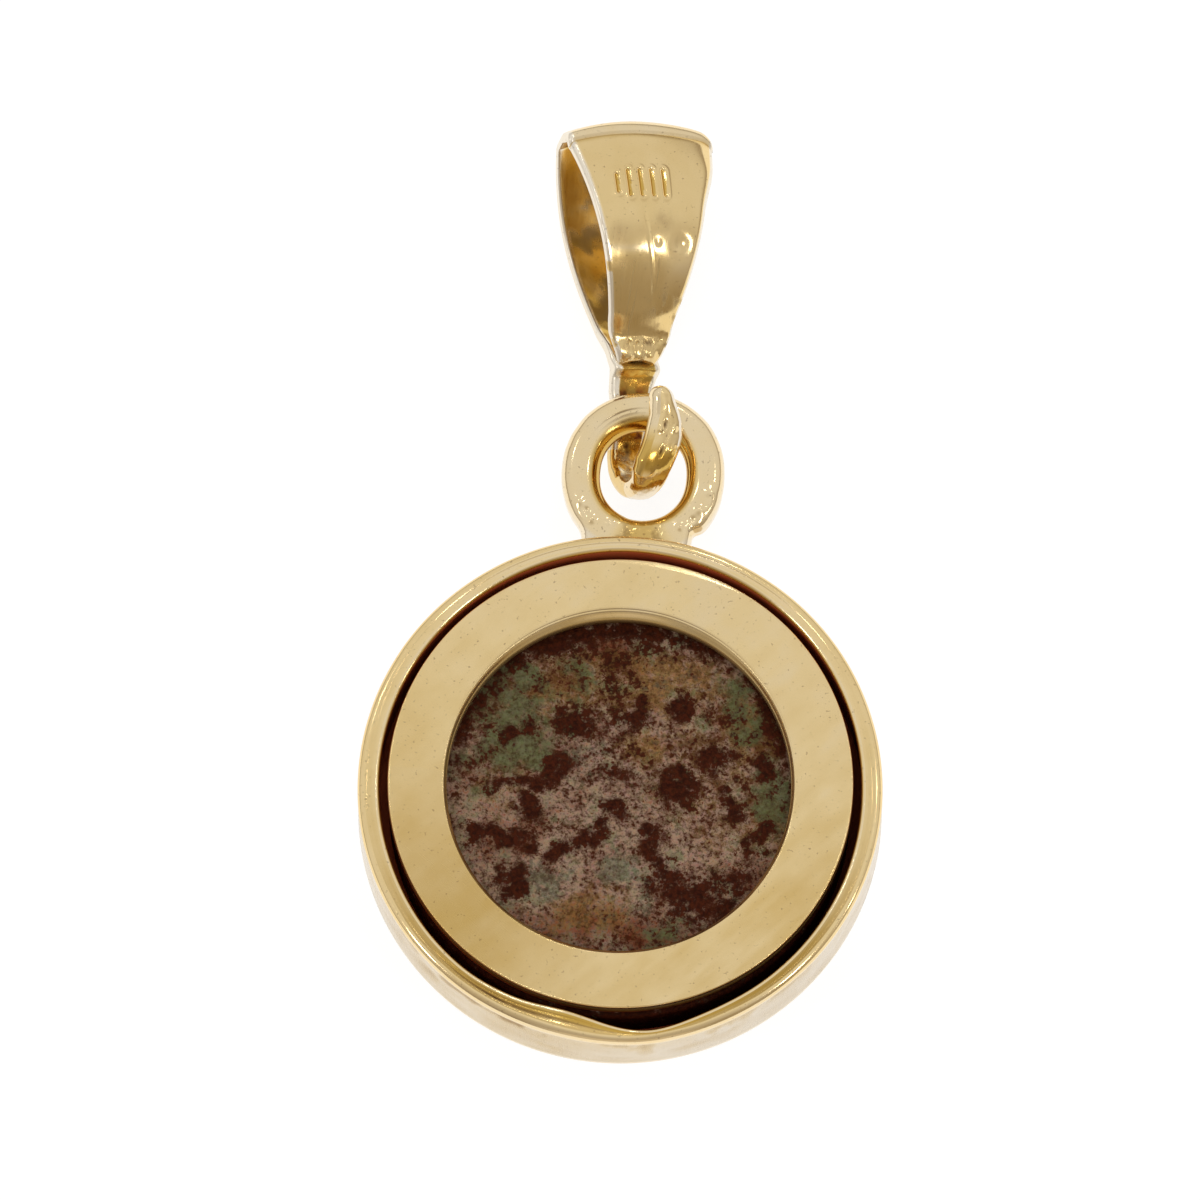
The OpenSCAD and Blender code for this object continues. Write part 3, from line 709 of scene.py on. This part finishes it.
def coin_surface(s, low, high):
    """Coin as one closed skin: a flat worn front, a dark rounded edge and a back with low relief.

    The back's height is the largest of the soft dots and bars, each a bell of its distance, moved about by
    clouds so its outline is ragged, plus fine clouds for the crust. Rows are rings from the middle of the
    back out over the edge to the middle of the front."""
    radius = s.diameter / 2
    z0, z1 = low.z / MM, high.z / MM
    ground = z1 - s.relief - 0.02
    turn = round_turn(COIN_COLUMNS)[0].T
    rim = radius - COIN_EDGE
    out = np.append(np.linspace(0.03, COIN_SEEN, 208), np.linspace(COIN_SEEN, rim, 12)[1:])[:, None]
    px, py = out * np.cos(turn), out * np.sin(turn)
    wx = px / radius + 0.05 * clouds(px, py, 1, s.seed + 1, octaves=5)
    wy = py / radius + 0.05 * clouds(px, py, 1, s.seed + 2, octaves=5)
    dark = 0 * wx
    for cx, cy, size in np.array(DOTS) / 1000:
        dark = np.maximum(dark, ramp(1.75 * size, 0.35 * size, np.hypot(wx - cx, wy - cy)))
    for ax, ay, bx, by, size in np.array(BARS) / 1000:
        dx, dy = bx - ax, by - ay
        along = np.clip(((wx - ax) * dx + (wy - ay) * dy) / (dx**2 + dy**2), 0, 1)
        distance = np.hypot(wx - ax - along * dx, wy - ay - along * dy)
        dark = np.maximum(dark, 0.8 * ramp(size, 0.2 * size, distance))
    height = np.clip(dark * (0.75 + 0.25 * clouds(px, py, 0.35, s.seed + 3)), 0, 1)
    crust = clouds(px, py, 0.5, s.seed + 4, octaves=5)
    z = ground + (s.relief * height + 0.02 * crust) * ramp(6.9, 6.2, out)
    mottle = 0.25 * clouds(px, py, 1.1, s.seed + 5)
    marks = {}
    for kind, fields in FIELDS.items():
        strongest = 0
        for cx, cy, half_x, half_y, strength in np.array(fields) / 100:
            field = ramp(1.6, 0.3, np.hypot((wx - cx) / half_x, (wy - cy) / half_y))
            strongest = np.maximum(strongest, field * strength)
        marks[kind] = np.clip(strongest + mottle, 0, 1)
    # Painted shadow: the coin darker near its rim on the upper side, under the back ring's edge
    rim_shade = 0.35 * ramp(5, 5.6, out) * ramp(-0.3, 0.5, np.sin(turn))
    patches = 0.2 * clouds(px, py, 0.8, s.seed + 6) + 0.06 + rim_shade
    # The dark mark holds the raised relief and also the painted shadows near the upper rim
    marks["dark"] = np.clip(np.maximum(dark * 0.95, marks["dark"]) + patches, 0, 1)
    # Edge and front, from the back's border to the middle of the front
    a = np.linspace(0, math.pi / 2, 7)[:, None]
    side_r = np.vstack([rim + COIN_EDGE * np.sin(a[1:]), rim + COIN_EDGE * np.cos(a),
                        np.linspace(rim, 0.05, 40)[1:, None]])
    side_z = np.vstack([ground + COIN_EDGE * (np.cos(a[1:]) - 1), z0 + COIN_EDGE * (1 - np.sin(a)),
                        np.full((39, 1), z0)])
    worn = 0.015 * (1 + clouds(side_r * np.cos(turn), side_r * np.sin(turn), 1.3, s.seed + 8))
    side_z = side_z + worn * (side_z < z0 + 0.01)
    r = np.vstack([out, side_r])
    marks = {key: np.vstack([value, np.full(side_z.shape, 0.25)]) for key, value in marks.items()}
    marks["dark"] = np.where(r > rim - 0.01, 1, marks["dark"])
    turn = turn + s.turn
    return np.stack([r * np.cos(turn), r * np.sin(turn), np.vstack([z, side_z])], axis=-1), marks


# Distance between the points of a line in the bail's side view. Such a line is an array of complex numbers,
# the station plus i times the depth
STEP = 0.02


def evened(line):
    """Points of a line at even steps along it."""
    run = np.append(0, np.cumsum(np.abs(np.diff(line))))
    return np.interp(np.linspace(0, run[-1], int(run[-1] / STEP) + 1), run, line)


def smoothed(line, count):
    """A line's points, each the bell-weighted mean of count points to each side, with both ends kept."""
    kernel = np.hanning(2 * count + 3)[1:-1]
    before = 2 * line[0] - line[count:0:-1]
    after = 2 * line[-1] - line[-2 : -count - 2 : -1]
    return np.convolve(np.concatenate([before, line, after]), kernel / kernel.sum(), mode="valid")


def normals(line):
    """Unit normals of a line, to the right of its direction."""
    tangent = np.gradient(line)
    return -1j * tangent / np.abs(tangent)


def round_end(way, least):
    """Share of the thickness near a round end: the root of 1 less the square of the share of way left."""
    return np.sqrt(np.clip(1 - (1 - np.clip(way, 0, 1)) ** 2, least, 1))


def hook_stations(s, wire):
    """Stations of the seat on the loop's wire, the bend's middle, the hook's tip and the bend's end."""
    seat = -(s.neck_room + wire / 2)
    bend = seat - wire / 2 - s.hook_slack + s.hook_gap / 2
    return seat, bend, seat + wire / 2 + 0.2, bend - s.hook_gap / 2 - s.hook_t


def bail_path(s, bend, tip_at):
    """Middle line of the bail's one strip in its own side view.

    It runs from the hook's tip down the upper arm, round the bend, up the lower arm to the neck, along the
    front plate, over the fold and back down the back plate. From neck to belly the half depth is that of the
    belly times (1 less the squared share of the way) to the power 1.25. From there to the fold it falls by
    the share of the way to the power 1.9, and a bevel runs to the top. The back plate's end is let down on
    the tongue by half its thickness."""
    mid = (s.hook_gap + s.hook_t) / 2
    fold, half_belly = s.length - s.fold_len, s.depth / 2
    stations = np.linspace(-0.05, fold, 200)
    near = np.clip((s.belly - stations) / (s.belly + 0.1), 0, 1)
    far = np.clip((stations - s.belly) / (fold - s.belly), 0, 1)
    half = half_belly * (1 - near**2) ** 1.25 - (half_belly - s.fold_depth / 2) * far**1.9
    side = np.append(stations - 1j * half, [s.length - 0.15 - 0.15j, s.length - 0.075 - 0.05j])
    outer = smoothed(evened(np.append(side, side[::-1].conj())), 5)
    leaf = outer - normals(outer) * s.plate_t / 2
    top = np.argmax(leaf.real)
    front, back = leaf[:top], leaf[top:]
    front.imag *= ramp(0.3, 1.2, front.real)
    lying = (s.hook_t + s.plate_t) / 2 + 0.02
    back.imag = lying + np.maximum(back.imag - lying, 0) * ramp(0.3, 1.9, back.real)
    back.imag -= s.plate_t / 2 * ramp(0.6, -0.05, back.real)
    a = np.linspace(math.pi / 2, 1.5 * math.pi, 60)[1:]
    hook = np.concatenate([[tip_at + 2j * mid], bend + mid * (1j + np.exp(1j * a)), [-0.15]])
    return smoothed(evened(np.concatenate([hook, front, back])), 4)


# Upper arm of the hook: share of the way from its tip to the bend's end, width as a share of the hook's
# width, and place across
ARM = (
    (0, 0.9, -0.34), (0.12, 0.84, -0.26), (0.24, 1.04, -0.17), (0.3, 1.16, -0.17), (0.42, 1.3, -0.23),
    (0.5, 1.34, -0.33), (0.6, 1.34, -0.48), (0.7, 1.26, -0.54), (0.82, 1.1, -0.5), (1, 1.08, -0.46),
)
# Place across at which the bail sits on the loop's wire
WIRE_ACROSS = 0.1
# Glints and dark nicks on the arm's face: across, share of the way, radius, height
ARM_KNOCKS = (
    (-0.3, 0.36, 0.09, 0.05), (0.22, 0.355, 0.09, 0.05), (0.3, 0.51, 0.09, 0.05), (-0.13, 0.32, 0.06, -0.07),
    (-0.08, 0.53, 0.06, -0.07), (0, 0.15, 0.2, 0.02), (-0.2, 0.66, 0.2, 0.04),
)
# Plain punched bars near the fold: their station, the stations between which the back plate has close rows,
# and each bar's place across and length
PUNCHED_AT = 5.93
CLOSE_ROWS = (5.34, 6.54)
PUNCHED = ((-1.2, 0.62), (-0.78, 0.86), (-0.36, 0.86), (0.06, 0.86), (0.48, 0.86))
# Small dents and raised places on the back plate: across, along, radius, height
KNOCKS = (
    (0.12, 4.05, 0.12, -0.016), (1, 4.02, 0.3, -0.055), (-1.85, 4.6, 0.14, -0.025), (-0.9, 3.7, 0.4, 0.012),
    (0.7, 3.3, 0.5, 0.012), (-0.2, 5.2, 0.5, -0.01), (1.5, 5.6, 0.5, 0.01),
    (-0.4, 0.4, 0.1, 0.06), (0.02, 0.38, 0.1, 0.06), (0.4, 0.42, 0.1, 0.06), (-0.5, 0.8, 0.06, -0.06),
    (-0.22, 0.78, 0.05, -0.06), (0.05, 0.81, 0.05, -0.06), (0.3, 0.79, 0.05, -0.06), (0.6, 0.9, 0.08, -0.03),
)


def bail_surface(s, loop):
    """Bail as one strip of rounded section swept along its path.

    The width grows from the hook's to the neck's, and from there to the fold's as the station to the power
    0.95. The plates are crowned across, the fold's corners are drawn down by the square of their share of
    the half width, and the back plate's end is an arc. The whole is rolled, pitched and swung about its seat
    on the loop's wire. Returns points, grime and tone, which hold soiling, painted shade and painted
    reflection."""
    seat, bend, tip_at, bend_end = hook_stations(s, loop.wire_w)
    line = bail_path(s, bend, tip_at)
    order = np.arange(len(line))
    far = line.real
    punched = (order > np.argmax(far)) & (far > CLOSE_ROWS[0]) & (far < CLOSE_ROWS[1])
    run = np.cumsum(1 + 1.5 * punched + 1.5 * (far > s.length - 0.7) + (far < 0.9))
    at = np.interp(np.linspace(run[0], run[-1], BAIL_ROWS), run, order)
    path = np.interp(at, order, line)[:, None]
    normal = normals(path[:, 0])[:, None]
    station, gone = path.real, at[:, None] * STEP
    bend_at, top_at = gone[np.argmin(station)], gone[np.argmax(station)]
    on_arm, on_back = gone < bend_at, gone > top_at
    between = ~on_arm & ~on_back
    arm_at = gone / bend_at
    # Half width and half thickness along the path
    arm_share, arm_width, arm_lean = np.array(ARM).T
    plate = s.neck_w / 2 + (s.top_w - s.neck_w) / 2 * (np.clip(station, 0, None) / s.length) ** 0.95
    tongue = s.neck_w / 2 * np.interp(station, [bend_end, bend, seat, -0.8, 0], [0.69, 0.78, 0.84, 0.98, 1])
    half_w = painted((True, tongue), (station > 0, plate),
                     (on_arm, np.interp(arm_at, arm_share, arm_width) * s.hook_w / 2))
    half_w = half_w * round_end(gone / (s.hook_w / 2), 1e-4)
    narrowed = np.interp(station, [-0.05, 0.04, 0.6, 1.1, 1.7], [0.6, 0.82, 0.96, 1.04, 1])
    half_w = half_w * np.where(on_back, narrowed, 1)
    thick, thin = s.hook_t / 2, s.plate_t / 2
    half_t = painted((True, np.interp(station, [0.2, 1.4], [thick, thin])), (on_back, thin), (on_arm, thick))
    half_t = half_t * round_end(gone / 0.3, 1e-3) * round_end((gone[-1] - gone) / 0.3, 1e-3)
    corner = np.minimum(np.interp(station, [0, 0.8], [0.2, 0.08]), np.minimum(half_t, half_w) * 0.95)
    # The section, with close points where the relief is
    close = [np.linspace(1, 0.4, 26)[1:], np.linspace(0.4, -0.66, 74)[1:], np.linspace(-0.66, -1, 8)[1:-1]]
    marks = section_marks(np.concatenate(close), np.linspace(1, -1, 22)[1:-1], 5, 3)
    x, y = rounded_section(marks, half_w, half_t, corner, np.minimum(corner * 1.7, half_t * 0.95))
    across, inside = marks[0], marks[1] < -0.99
    flat_in = inside & (np.abs(across) < 0.99)
    share_x = x / np.maximum(half_w, 1e-6)
    outside = y > 0
    plates = ramp(-0.2, 0.8, station)
    dome = (0.13 - 0.01 * plates) * (1 - share_x**2)
    dome -= 0.06 * plates * ramp(0.8 - 0.2 * ramp(6.4, 7.5, station), 1, share_x) ** 2
    y = y + dome * np.where(outside, 1, plates) * np.clip(half_t / 0.12, 0, 1)
    # Fold's corners drawn down and rounded, more on the right
    high = np.clip(station / s.length, 0, 1)
    along = station - s.crown * (x / (s.top_w / 2)) ** 2 * high**2 * np.where(x > 0, 0.8, 1)
    for sign, radius in ((1, 0.5), (-1, 0.16)):
        past = np.clip((sign * share_x - 1) * s.top_w / 2 / radius + 1, 0, 1)
        along -= radius * (1 - np.sqrt(1 - 0.98 * past**2)) * high**6
    along += 0.2 * (1 - share_x**2) * ramp(0.5, -0.05, station) * on_back
    # Marks on the back plate's outside
    face = outside & on_back
    relief = 0.022 * clouds(x, station, 0.35, 39) * ramp(1.7, 0.9, station)
    for cx, size in PUNCHED:
        distance = np.hypot(x - cx, np.maximum(np.abs(station - PUNCHED_AT) - size / 2 + 0.05, 0))
        relief += bells(distance, (-0.07, 0, 0.06), (0.02, 0.15, 0.06))
    groove = bump(x - np.interp(station, [2.26, 5.15], [0.14, -0.38]), 0, 0.06)
    relief += -0.02 * groove * ramp(2, 2.6, station) * ramp(5.3, 4.8, station)
    for cx, cs, size, rise in KNOCKS:
        relief += rise * spot(x, station, cx, cs, size)
    y = y + face * relief
    # Knocks on the hook, and lumps of solder where it joins the plates
    nicks = 0 * x
    for cx, cs, size, rise in ARM_KNOCKS:
        knock = spot(x, (gone - cs * bend_at) * (0.5 if rise < 0 else 1), cx, 0, size)
        y = y + (outside & on_arm) * rise * knock
        nicks += (rise < 0) * knock
    arm_face = outside & (on_arm | (station < seat))
    bottom = np.where(on_arm, ramp(0.55, 0.75, arm_at), ramp(-0.2, -1.2, station))
    y = y + arm_face * bottom * 0.025 * clouds(x, gone, 0.35, 35)
    y = y - inside * ((station < 0.6) & ~on_arm) * 0.03 * clouds(x, gone, 0.3, 36)
    y = y - inside * between * 0.2 * bump(station, -0.02, 0.2)
    # Into the bail's own frame: across, along, up
    lean = np.interp(station, [bend_end, bend, seat, 0], [-0.46, -0.25, -0.06, 0])
    lean = np.where(on_arm, np.interp(arm_at, arm_share, arm_lean), lean)
    lean = lean + 0.08 * on_back * bump(station, 0.9, 0.5)
    neck = between * bells(station, (0.06, -0.15, 0.3), (-0.03, -0.8, 0.3))
    spread = 0.18 * ramp(5.2, 6.8, station) * ramp(0, 1, share_x)
    s_at = along + y * normal.real
    local = np.stack([x * (1 + neck) + lean + neck + spread, s_at, path.imag + y * normal.imag], axis=-1)
    # Soiling and painted shade: dark speckles inside the plates, speckled grime on the tongue and the lower
    # arm, painted contact shadow where the tongue runs towards the loop's wire, specks and scratch streaks
    # on the back plate, a painted darker zone at its lower left, soft grey blots, a painted shade line under
    # the fold, and dark nicks on the arm
    inner = flat_in & (station > 0.9)
    tongue_in = flat_in & (station <= 0.9) & (station > seat) & ~on_arm
    back_arm = flat_in & (station <= seat) & ~on_arm
    sunk = ramp(bend + 0.1, bend - 0.6, station)
    speckle = np.clip(clouds(x, s_at, 0.8, 31, octaves=5) * 3.2, 0, 1)
    fine = np.clip(clouds(x, s_at, 0.3, 32) * 2.2, 0, 1)
    specks = spot(x, station, 0.62, 2.1, 0.45) + 0.5 * spot(x, station, 0.9, 1.85, 0.5)
    specks = specks + bump(station, 0.8, 0.09)
    blots = spot(x, s_at, -1.25, 4.25, 0.3) + spot(x, s_at, 0.35, 4.75, 0.28)
    blots *= 1 + clouds(x, s_at, 0.25, 46)
    streaks = np.clip(clouds(x * 9, s_at * 0.6, 0.9, 42) * 2.2 - 0.35, 0, 1)
    # Zone painted darker at the back plate's lower left, a painted reflection of the dark surroundings in
    # front
    lower_left = ramp(3.64, 3.48, station - 0.1 * x) * ramp(0.6, 0.1, x)
    # Painted shade line just under the fold, darker and deeper in colour
    shade_under_fold = bump(station, s.length - s.fold_len - 0.06, 0.07)
    # Scratch streaks and the painted darker zone at the lower left, and soft grey blots
    worn = (0.3 * streaks + 0.08 + 0.14 * bump(station, 3.36, 0.2)) * lower_left + 0.22 * blots
    grime = painted(
        (inner, (0.5 + 0.6 * ramp(5.4, 6.8, s_at)) * speckle),
        # The tongue painted darker, as contact shadow, where it runs towards the loop's wire
        (tongue_in, 0.05 + 0.35 * fine + 0.5 * ramp(-0.5, -0.85, station)),
        (back_arm, (0.9 * fine + 0.1) * (1 - 0.65 * sunk)),
        (face, np.clip(0.9 * specks * fine + worn + 0.12 * shade_under_fold, 0, 1)),
        (outside & on_arm, 0.8 * nicks),
    )
    # Colour painted as reflection: whitish painted highlights on a band of the plate, its lower right, near
    # the fold and on the side edges; painted deeper low on the plate, in the punched bars, under the fold,
    # inside the plates and on the tongue, with whitish blotches inside; the lower arm painted whitish
    # towards the bend; and the hook's arm painted in bands from deep gold to whitish
    band = bump(station, 3.85, 0.14) * ramp(0.5, -0.1, x)
    lower_right = ramp(0.2, 0.7, x) * bump(station, 3.2, 0.6)
    plate_tone = 0.15 + 0.2 * ramp(4, 3.4, station) * (1 - 0.5 * ramp(1.2, 0.4, station))
    plate_tone = plate_tone - 0.4 * ramp(s.length - 0.5, s.length - 0.3, station)
    plate_tone = plate_tone - 0.4 * band - 0.4 * lower_right + 0.7 * shade_under_fold
    blotch = bump(s_at, 5.05, 0.4) * np.clip(1 + clouds(x, s_at, 0.5, 44), 0, 1)
    hidden = 1.2 + 0.5 * clouds(x, s_at, 0.3, 37)
    paleness = np.clip(sunk * (1 + 0.6 * clouds(x, s_at, 0.3, 43)), 0, 1)
    arm_tone = np.interp(arm_at, [0.46, 0.56, 0.66, 0.72], [0.1, 1.2, 0.9, -0.6])
    left_side = (ramp(0.3, 0.5, arm_at) - ramp(0.66, 0.8, arm_at)) * 1.2 - 0.3
    side_tone = painted((True, -0.95), (station < bend, 0.3), (on_arm & (across < -0.9), left_side))
    tone = painted(
        (face, plate_tone),
        (face & (relief < -0.03) & (station > 5), 0.9),
        (inner, 0.95 + 0.7 * clouds(x, s_at, 0.6, 33) - 1.5 * blotch),
        (tongue_in, hidden),
        (back_arm, hidden + (-0.5 - hidden) * paleness),
        (flat_in & on_arm, 0.6),
        (arm_face, np.where(on_arm, arm_tone, -0.9) + 0.4 * clouds(x, s_at, 0.4, 38) * bottom),
        ((np.abs(across) > 0.99) & (grime < 0.1), side_tone),
    )
    # Into the pose
    wire = (WIRE_ACROSS, loop.centre_y + (loop.stretch + loop.hole_d + loop.wire_w) / 2, loop.centre_z)
    pose = Matrix.Translation(wire)
    for axis, turned in (("Z", s.swing), ("X", s.pitch), ("Y", s.roll)):
        pose = pose @ Matrix.Rotation(turned, 4, axis)
    pose = np.array(pose @ Matrix.Translation((0, -seat, -(s.hook_gap + s.hook_t) / 2)))
    return local @ pose[:3, :3].T + pose[:3, 3], {"grime": grime, "tone": tone}


# Operators


class PENDANT_OT_bezel(bpy.types.Operator):
    """Adds the gold cup with its burnished rim, and the loop soldered to it"""

    bl_idname = "pendant.bezel"
    bl_label = "Bezel and Loop"

    def execute(self, context):
        scene = context.scene
        gold = polished_gold("bezel_polished_gold", scene.pendant_colours, 0.4, 0.1, 0.02)
        put_piece("bezel_cup", *bezel_surface(Sizes(scene.pendant_bezel)), gold, "bezel_gold", "bezel")
        put_piece("loop", *loop_surface(Sizes(scene.pendant_loop)), gold, "bezel_gold", "bezel")
        return {"FINISHED"}


class PENDANT_OT_back_ring(bpy.types.Operator):
    """Adds the flat gold ring that keeps the coin in"""

    bl_idname = "pendant.back_ring"
    bl_label = "Back Ring"

    def execute(self, context):
        scene = context.scene
        gold = polished_gold("back_ring_rolled_gold", scene.pendant_colours, -0.9, 0.16, 0.006)
        surface = ring_surface(Sizes(scene.pendant_bezel), RING_LOW, RING_HIGH)
        put_piece("back_ring_sheet", *surface, gold, "back_ring_gold", "back_ring")
        return {"FINISHED"}


class PENDANT_OT_coin(bpy.types.Operator):
    """Adds the worn bronze coin"""

    bl_idname = "pendant.coin"
    bl_label = "Coin"

    def execute(self, context):
        scene = context.scene
        bronze = bronze_patina("coin_patinated_bronze", scene.pendant_colours)
        surface = coin_surface(Sizes(scene.pendant_coin), COIN_LOW, COIN_HIGH)
        put_piece("struck_coin", *surface, bronze, "coin_bronze", "coin", ring=False)
        return {"FINISHED"}


class PENDANT_OT_bail(bpy.types.Operator):
    """Adds the folded bail with its hook"""

    bl_idname = "pendant.bail"
    bl_label = "Bail"

    def execute(self, context):
        scene = context.scene
        gold = polished_gold("bail_polished_gold", scene.pendant_colours, 0.1, 0.1, 0.018)
        surface = bail_surface(Sizes(scene.pendant_bail), Sizes(scene.pendant_loop))
        put_piece("folded_bail", *surface, gold, "bail_gold", "bail", ring=False, ends_in=True)
        return {"FINISHED"}


# Patches of the sky: azimuth, elevation, inner and outer radius in degrees, strength and colour
SKY_PATCHES = (
    (-100, 32, 20, 62, 0.7, "#b7a88f"),
    (-50, 14, 8, 37, 0.65, "#a5916e"),
    (-105, 2, 8, 48, 0.3, "#5a4636"),
    (-18, 30, 6, 30, 0.4, "#a5916e"),
    (-88, 13, 6, 26, 0.7, "#fff4e4"),
    (-6, 33, 3, 9, 0.4, "#ffffff"),
)
# Soft boxes: azimuth and elevation in degrees, size in metres and power in watts
LAMPS = {
    "lamp_right": (-30, 50, 0.1, 0.22),
    "lamp_left": (205, 50, 0.09, 0.2),
    "lamp_back": (80, 50, 0.04, 0.05),
    "lamp_front": (-8, 33, 0.05, 0.06),
    "lamp_high_left": (135, 58, 0.03, 0.03),
    "lamp_high_right": (35, 60, 0.03, 0.03),
}
LAMP_DISTANCE = 0.6
PANEL_HALF = 1.5


def direction(azimuth, elevation):
    """Unit vector towards an azimuth and an elevation in degrees."""
    a, e = math.radians(azimuth), math.radians(elevation)
    return Vector((math.cos(a) * math.cos(e), math.sin(a) * math.cos(e), math.sin(e)))


class PENDANT_OT_stage(bpy.types.Operator):
    """Adds the opal panel, the studio light and the camera"""

    bl_idname = "pendant.stage"
    bl_label = "Stage"

    def execute(self, context):
        scene = context.scene
        stage = scene.pendant_stage
        self.panel(scene, stage)
        self.sky(scene, stage)
        self.lamps(scene)
        self.camera(scene, stage)
        scene.view_settings.view_transform = "Standard"
        return {"FINISHED"}

    def panel(self, scene, stage):
        """A flat square panel under everything."""
        mesh = bpy.data.meshes.new("panel")
        corners = [(x * PANEL_HALF, y * PANEL_HALF, 0) for x, y in ((-1, -1), (1, -1), (1, 1), (-1, 1))]
        mesh.from_pydata(corners, [], [(0, 1, 2, 3)])
        mesh.materials.append(opal_panel("opal_acrylic_panel", scene.pendant_colours.panel, stage.glow))
        floor = bpy.data.objects.new("panel", mesh)
        scene.collection.objects.link(floor)

    def sky(self, scene, stage):
        """A bright tent with a darker horizon, and soft patches that the polished gold mirrors, each blended
        in by the cosine of the angle from its direction."""
        scene.world = bpy.data.worlds.new("tent")
        add = node_adder(scene.world)
        way = add("TexCoord", out="Generated")
        height = add("SeparateXYZ", {"Vector": way}, "Z")
        light = add("ValToRGB", {"Fac": height}, stops=[
            (0, (0.42, 0.36, 0.3, 1)), (1, (1, 1, 1, 1)), (0.1, (0.55, 0.5, 0.45, 1)),
            (0.3, (0.95, 0.94, 0.93, 1)),
        ])
        for azimuth, elevation, inner, outer, strength, tint in SKY_PATCHES:
            towards = direction(azimuth, elevation)
            near = add("VectorMath", (way, towards), "Value", operation="DOT_PRODUCT")
            fades, full = (math.cos(math.radians(radius)) for radius in (outer, inner))
            reach = add("MapRange", (near, fades, full, 0, strength), interpolation_type="SMOOTHSTEP")
            light = add("Mix", {0: reach, 6: light, 7: linear(tint)}, 2, data_type="RGBA")
        light = add("Background", {"Color": light, "Strength": stage.sky})
        add("OutputWorld", {"Surface": light})

    def lamps(self, scene):
        """Round soft boxes about the pendant, turned towards it."""
        for name, (azimuth, elevation, size, power) in LAMPS.items():
            data = bpy.data.lights.new(name, "AREA")
            data.shape = "DISK"
            data.size = size
            data.energy = power
            lamp = bpy.data.objects.new(name, data)
            way = direction(azimuth, elevation)
            lamp.location = way * LAMP_DISTANCE
            lamp.rotation_euler = way.to_track_quat("Z", "Y").to_euler()
            scene.collection.objects.link(lamp)

    def camera(self, scene, stage):
        """Camera on the photograph's line of sight, aimed so the coin's middle is at its pixel there."""
        pixel = stage.view_w / PHOTO_SIDE
        across, up = (PHOTO_SIDE / 2 - COIN_AT[0]) * pixel, (COIN_AT[1] - PHOTO_SIDE / 2) * pixel
        data = bpy.data.cameras.new("camera")
        data.sensor_width = 36
        data.lens = data.sensor_width * stage.distance / stage.view_w
        data.clip_start = 0.01
        data.clip_end = 20
        camera = bpy.data.objects.new("camera", data)
        camera.rotation_euler = Euler((math.pi / 2 - stage.elevation, 0, stage.azimuth))
        camera.location = camera.rotation_euler.to_matrix() @ Vector((across, up, stage.distance))
        scene.collection.objects.link(camera)
        scene.camera = camera


OPERATORS = (PENDANT_OT_bezel, PENDANT_OT_back_ring, PENDANT_OT_coin, PENDANT_OT_bail, PENDANT_OT_stage)
GROUPS = {
    "pendant_bezel": PendantBezelSizes,
    "pendant_loop": PendantLoopSizes,
    "pendant_coin": PendantCoinSizes,
    "pendant_bail": PendantBailSizes,
    "pendant_colours": PendantColours,
    "pendant_stage": PendantStageSettings,
}


class PENDANT_PT_panel(bpy.types.Panel):
    """Sizes, colours and the operators of the pendant"""

    bl_idname = "PENDANT_PT_panel"
    bl_label = "Coin Pendant"
    bl_space_type = "VIEW_3D"
    bl_region_type = "UI"
    bl_category = "Pendant"

    def draw(self, context):
        for name, group in GROUPS.items():
            box = self.layout.box()
            for key in group.__annotations__:
                box.prop(getattr(context.scene, name), key)
        for operator in OPERATORS:
            self.layout.operator(operator.bl_idname)


CLASSES = (*GROUPS.values(), *OPERATORS, PENDANT_PT_panel)


def register():
    for cls in CLASSES:
        bpy.utils.register_class(cls)
    for name, group in GROUPS.items():
        setattr(bpy.types.Scene, name, PointerProperty(type=group))


def unregister():
    for name in GROUPS:
        delattr(bpy.types.Scene, name)
    for cls in reversed(CLASSES):
        bpy.utils.unregister_class(cls)


def main():
    register()
    bpy.ops.pendant.bezel()
    bpy.ops.pendant.back_ring()
    bpy.ops.pendant.coin()
    bpy.ops.pendant.bail()
    bpy.ops.pendant.stage()


if __name__ == "__main__":
    main()
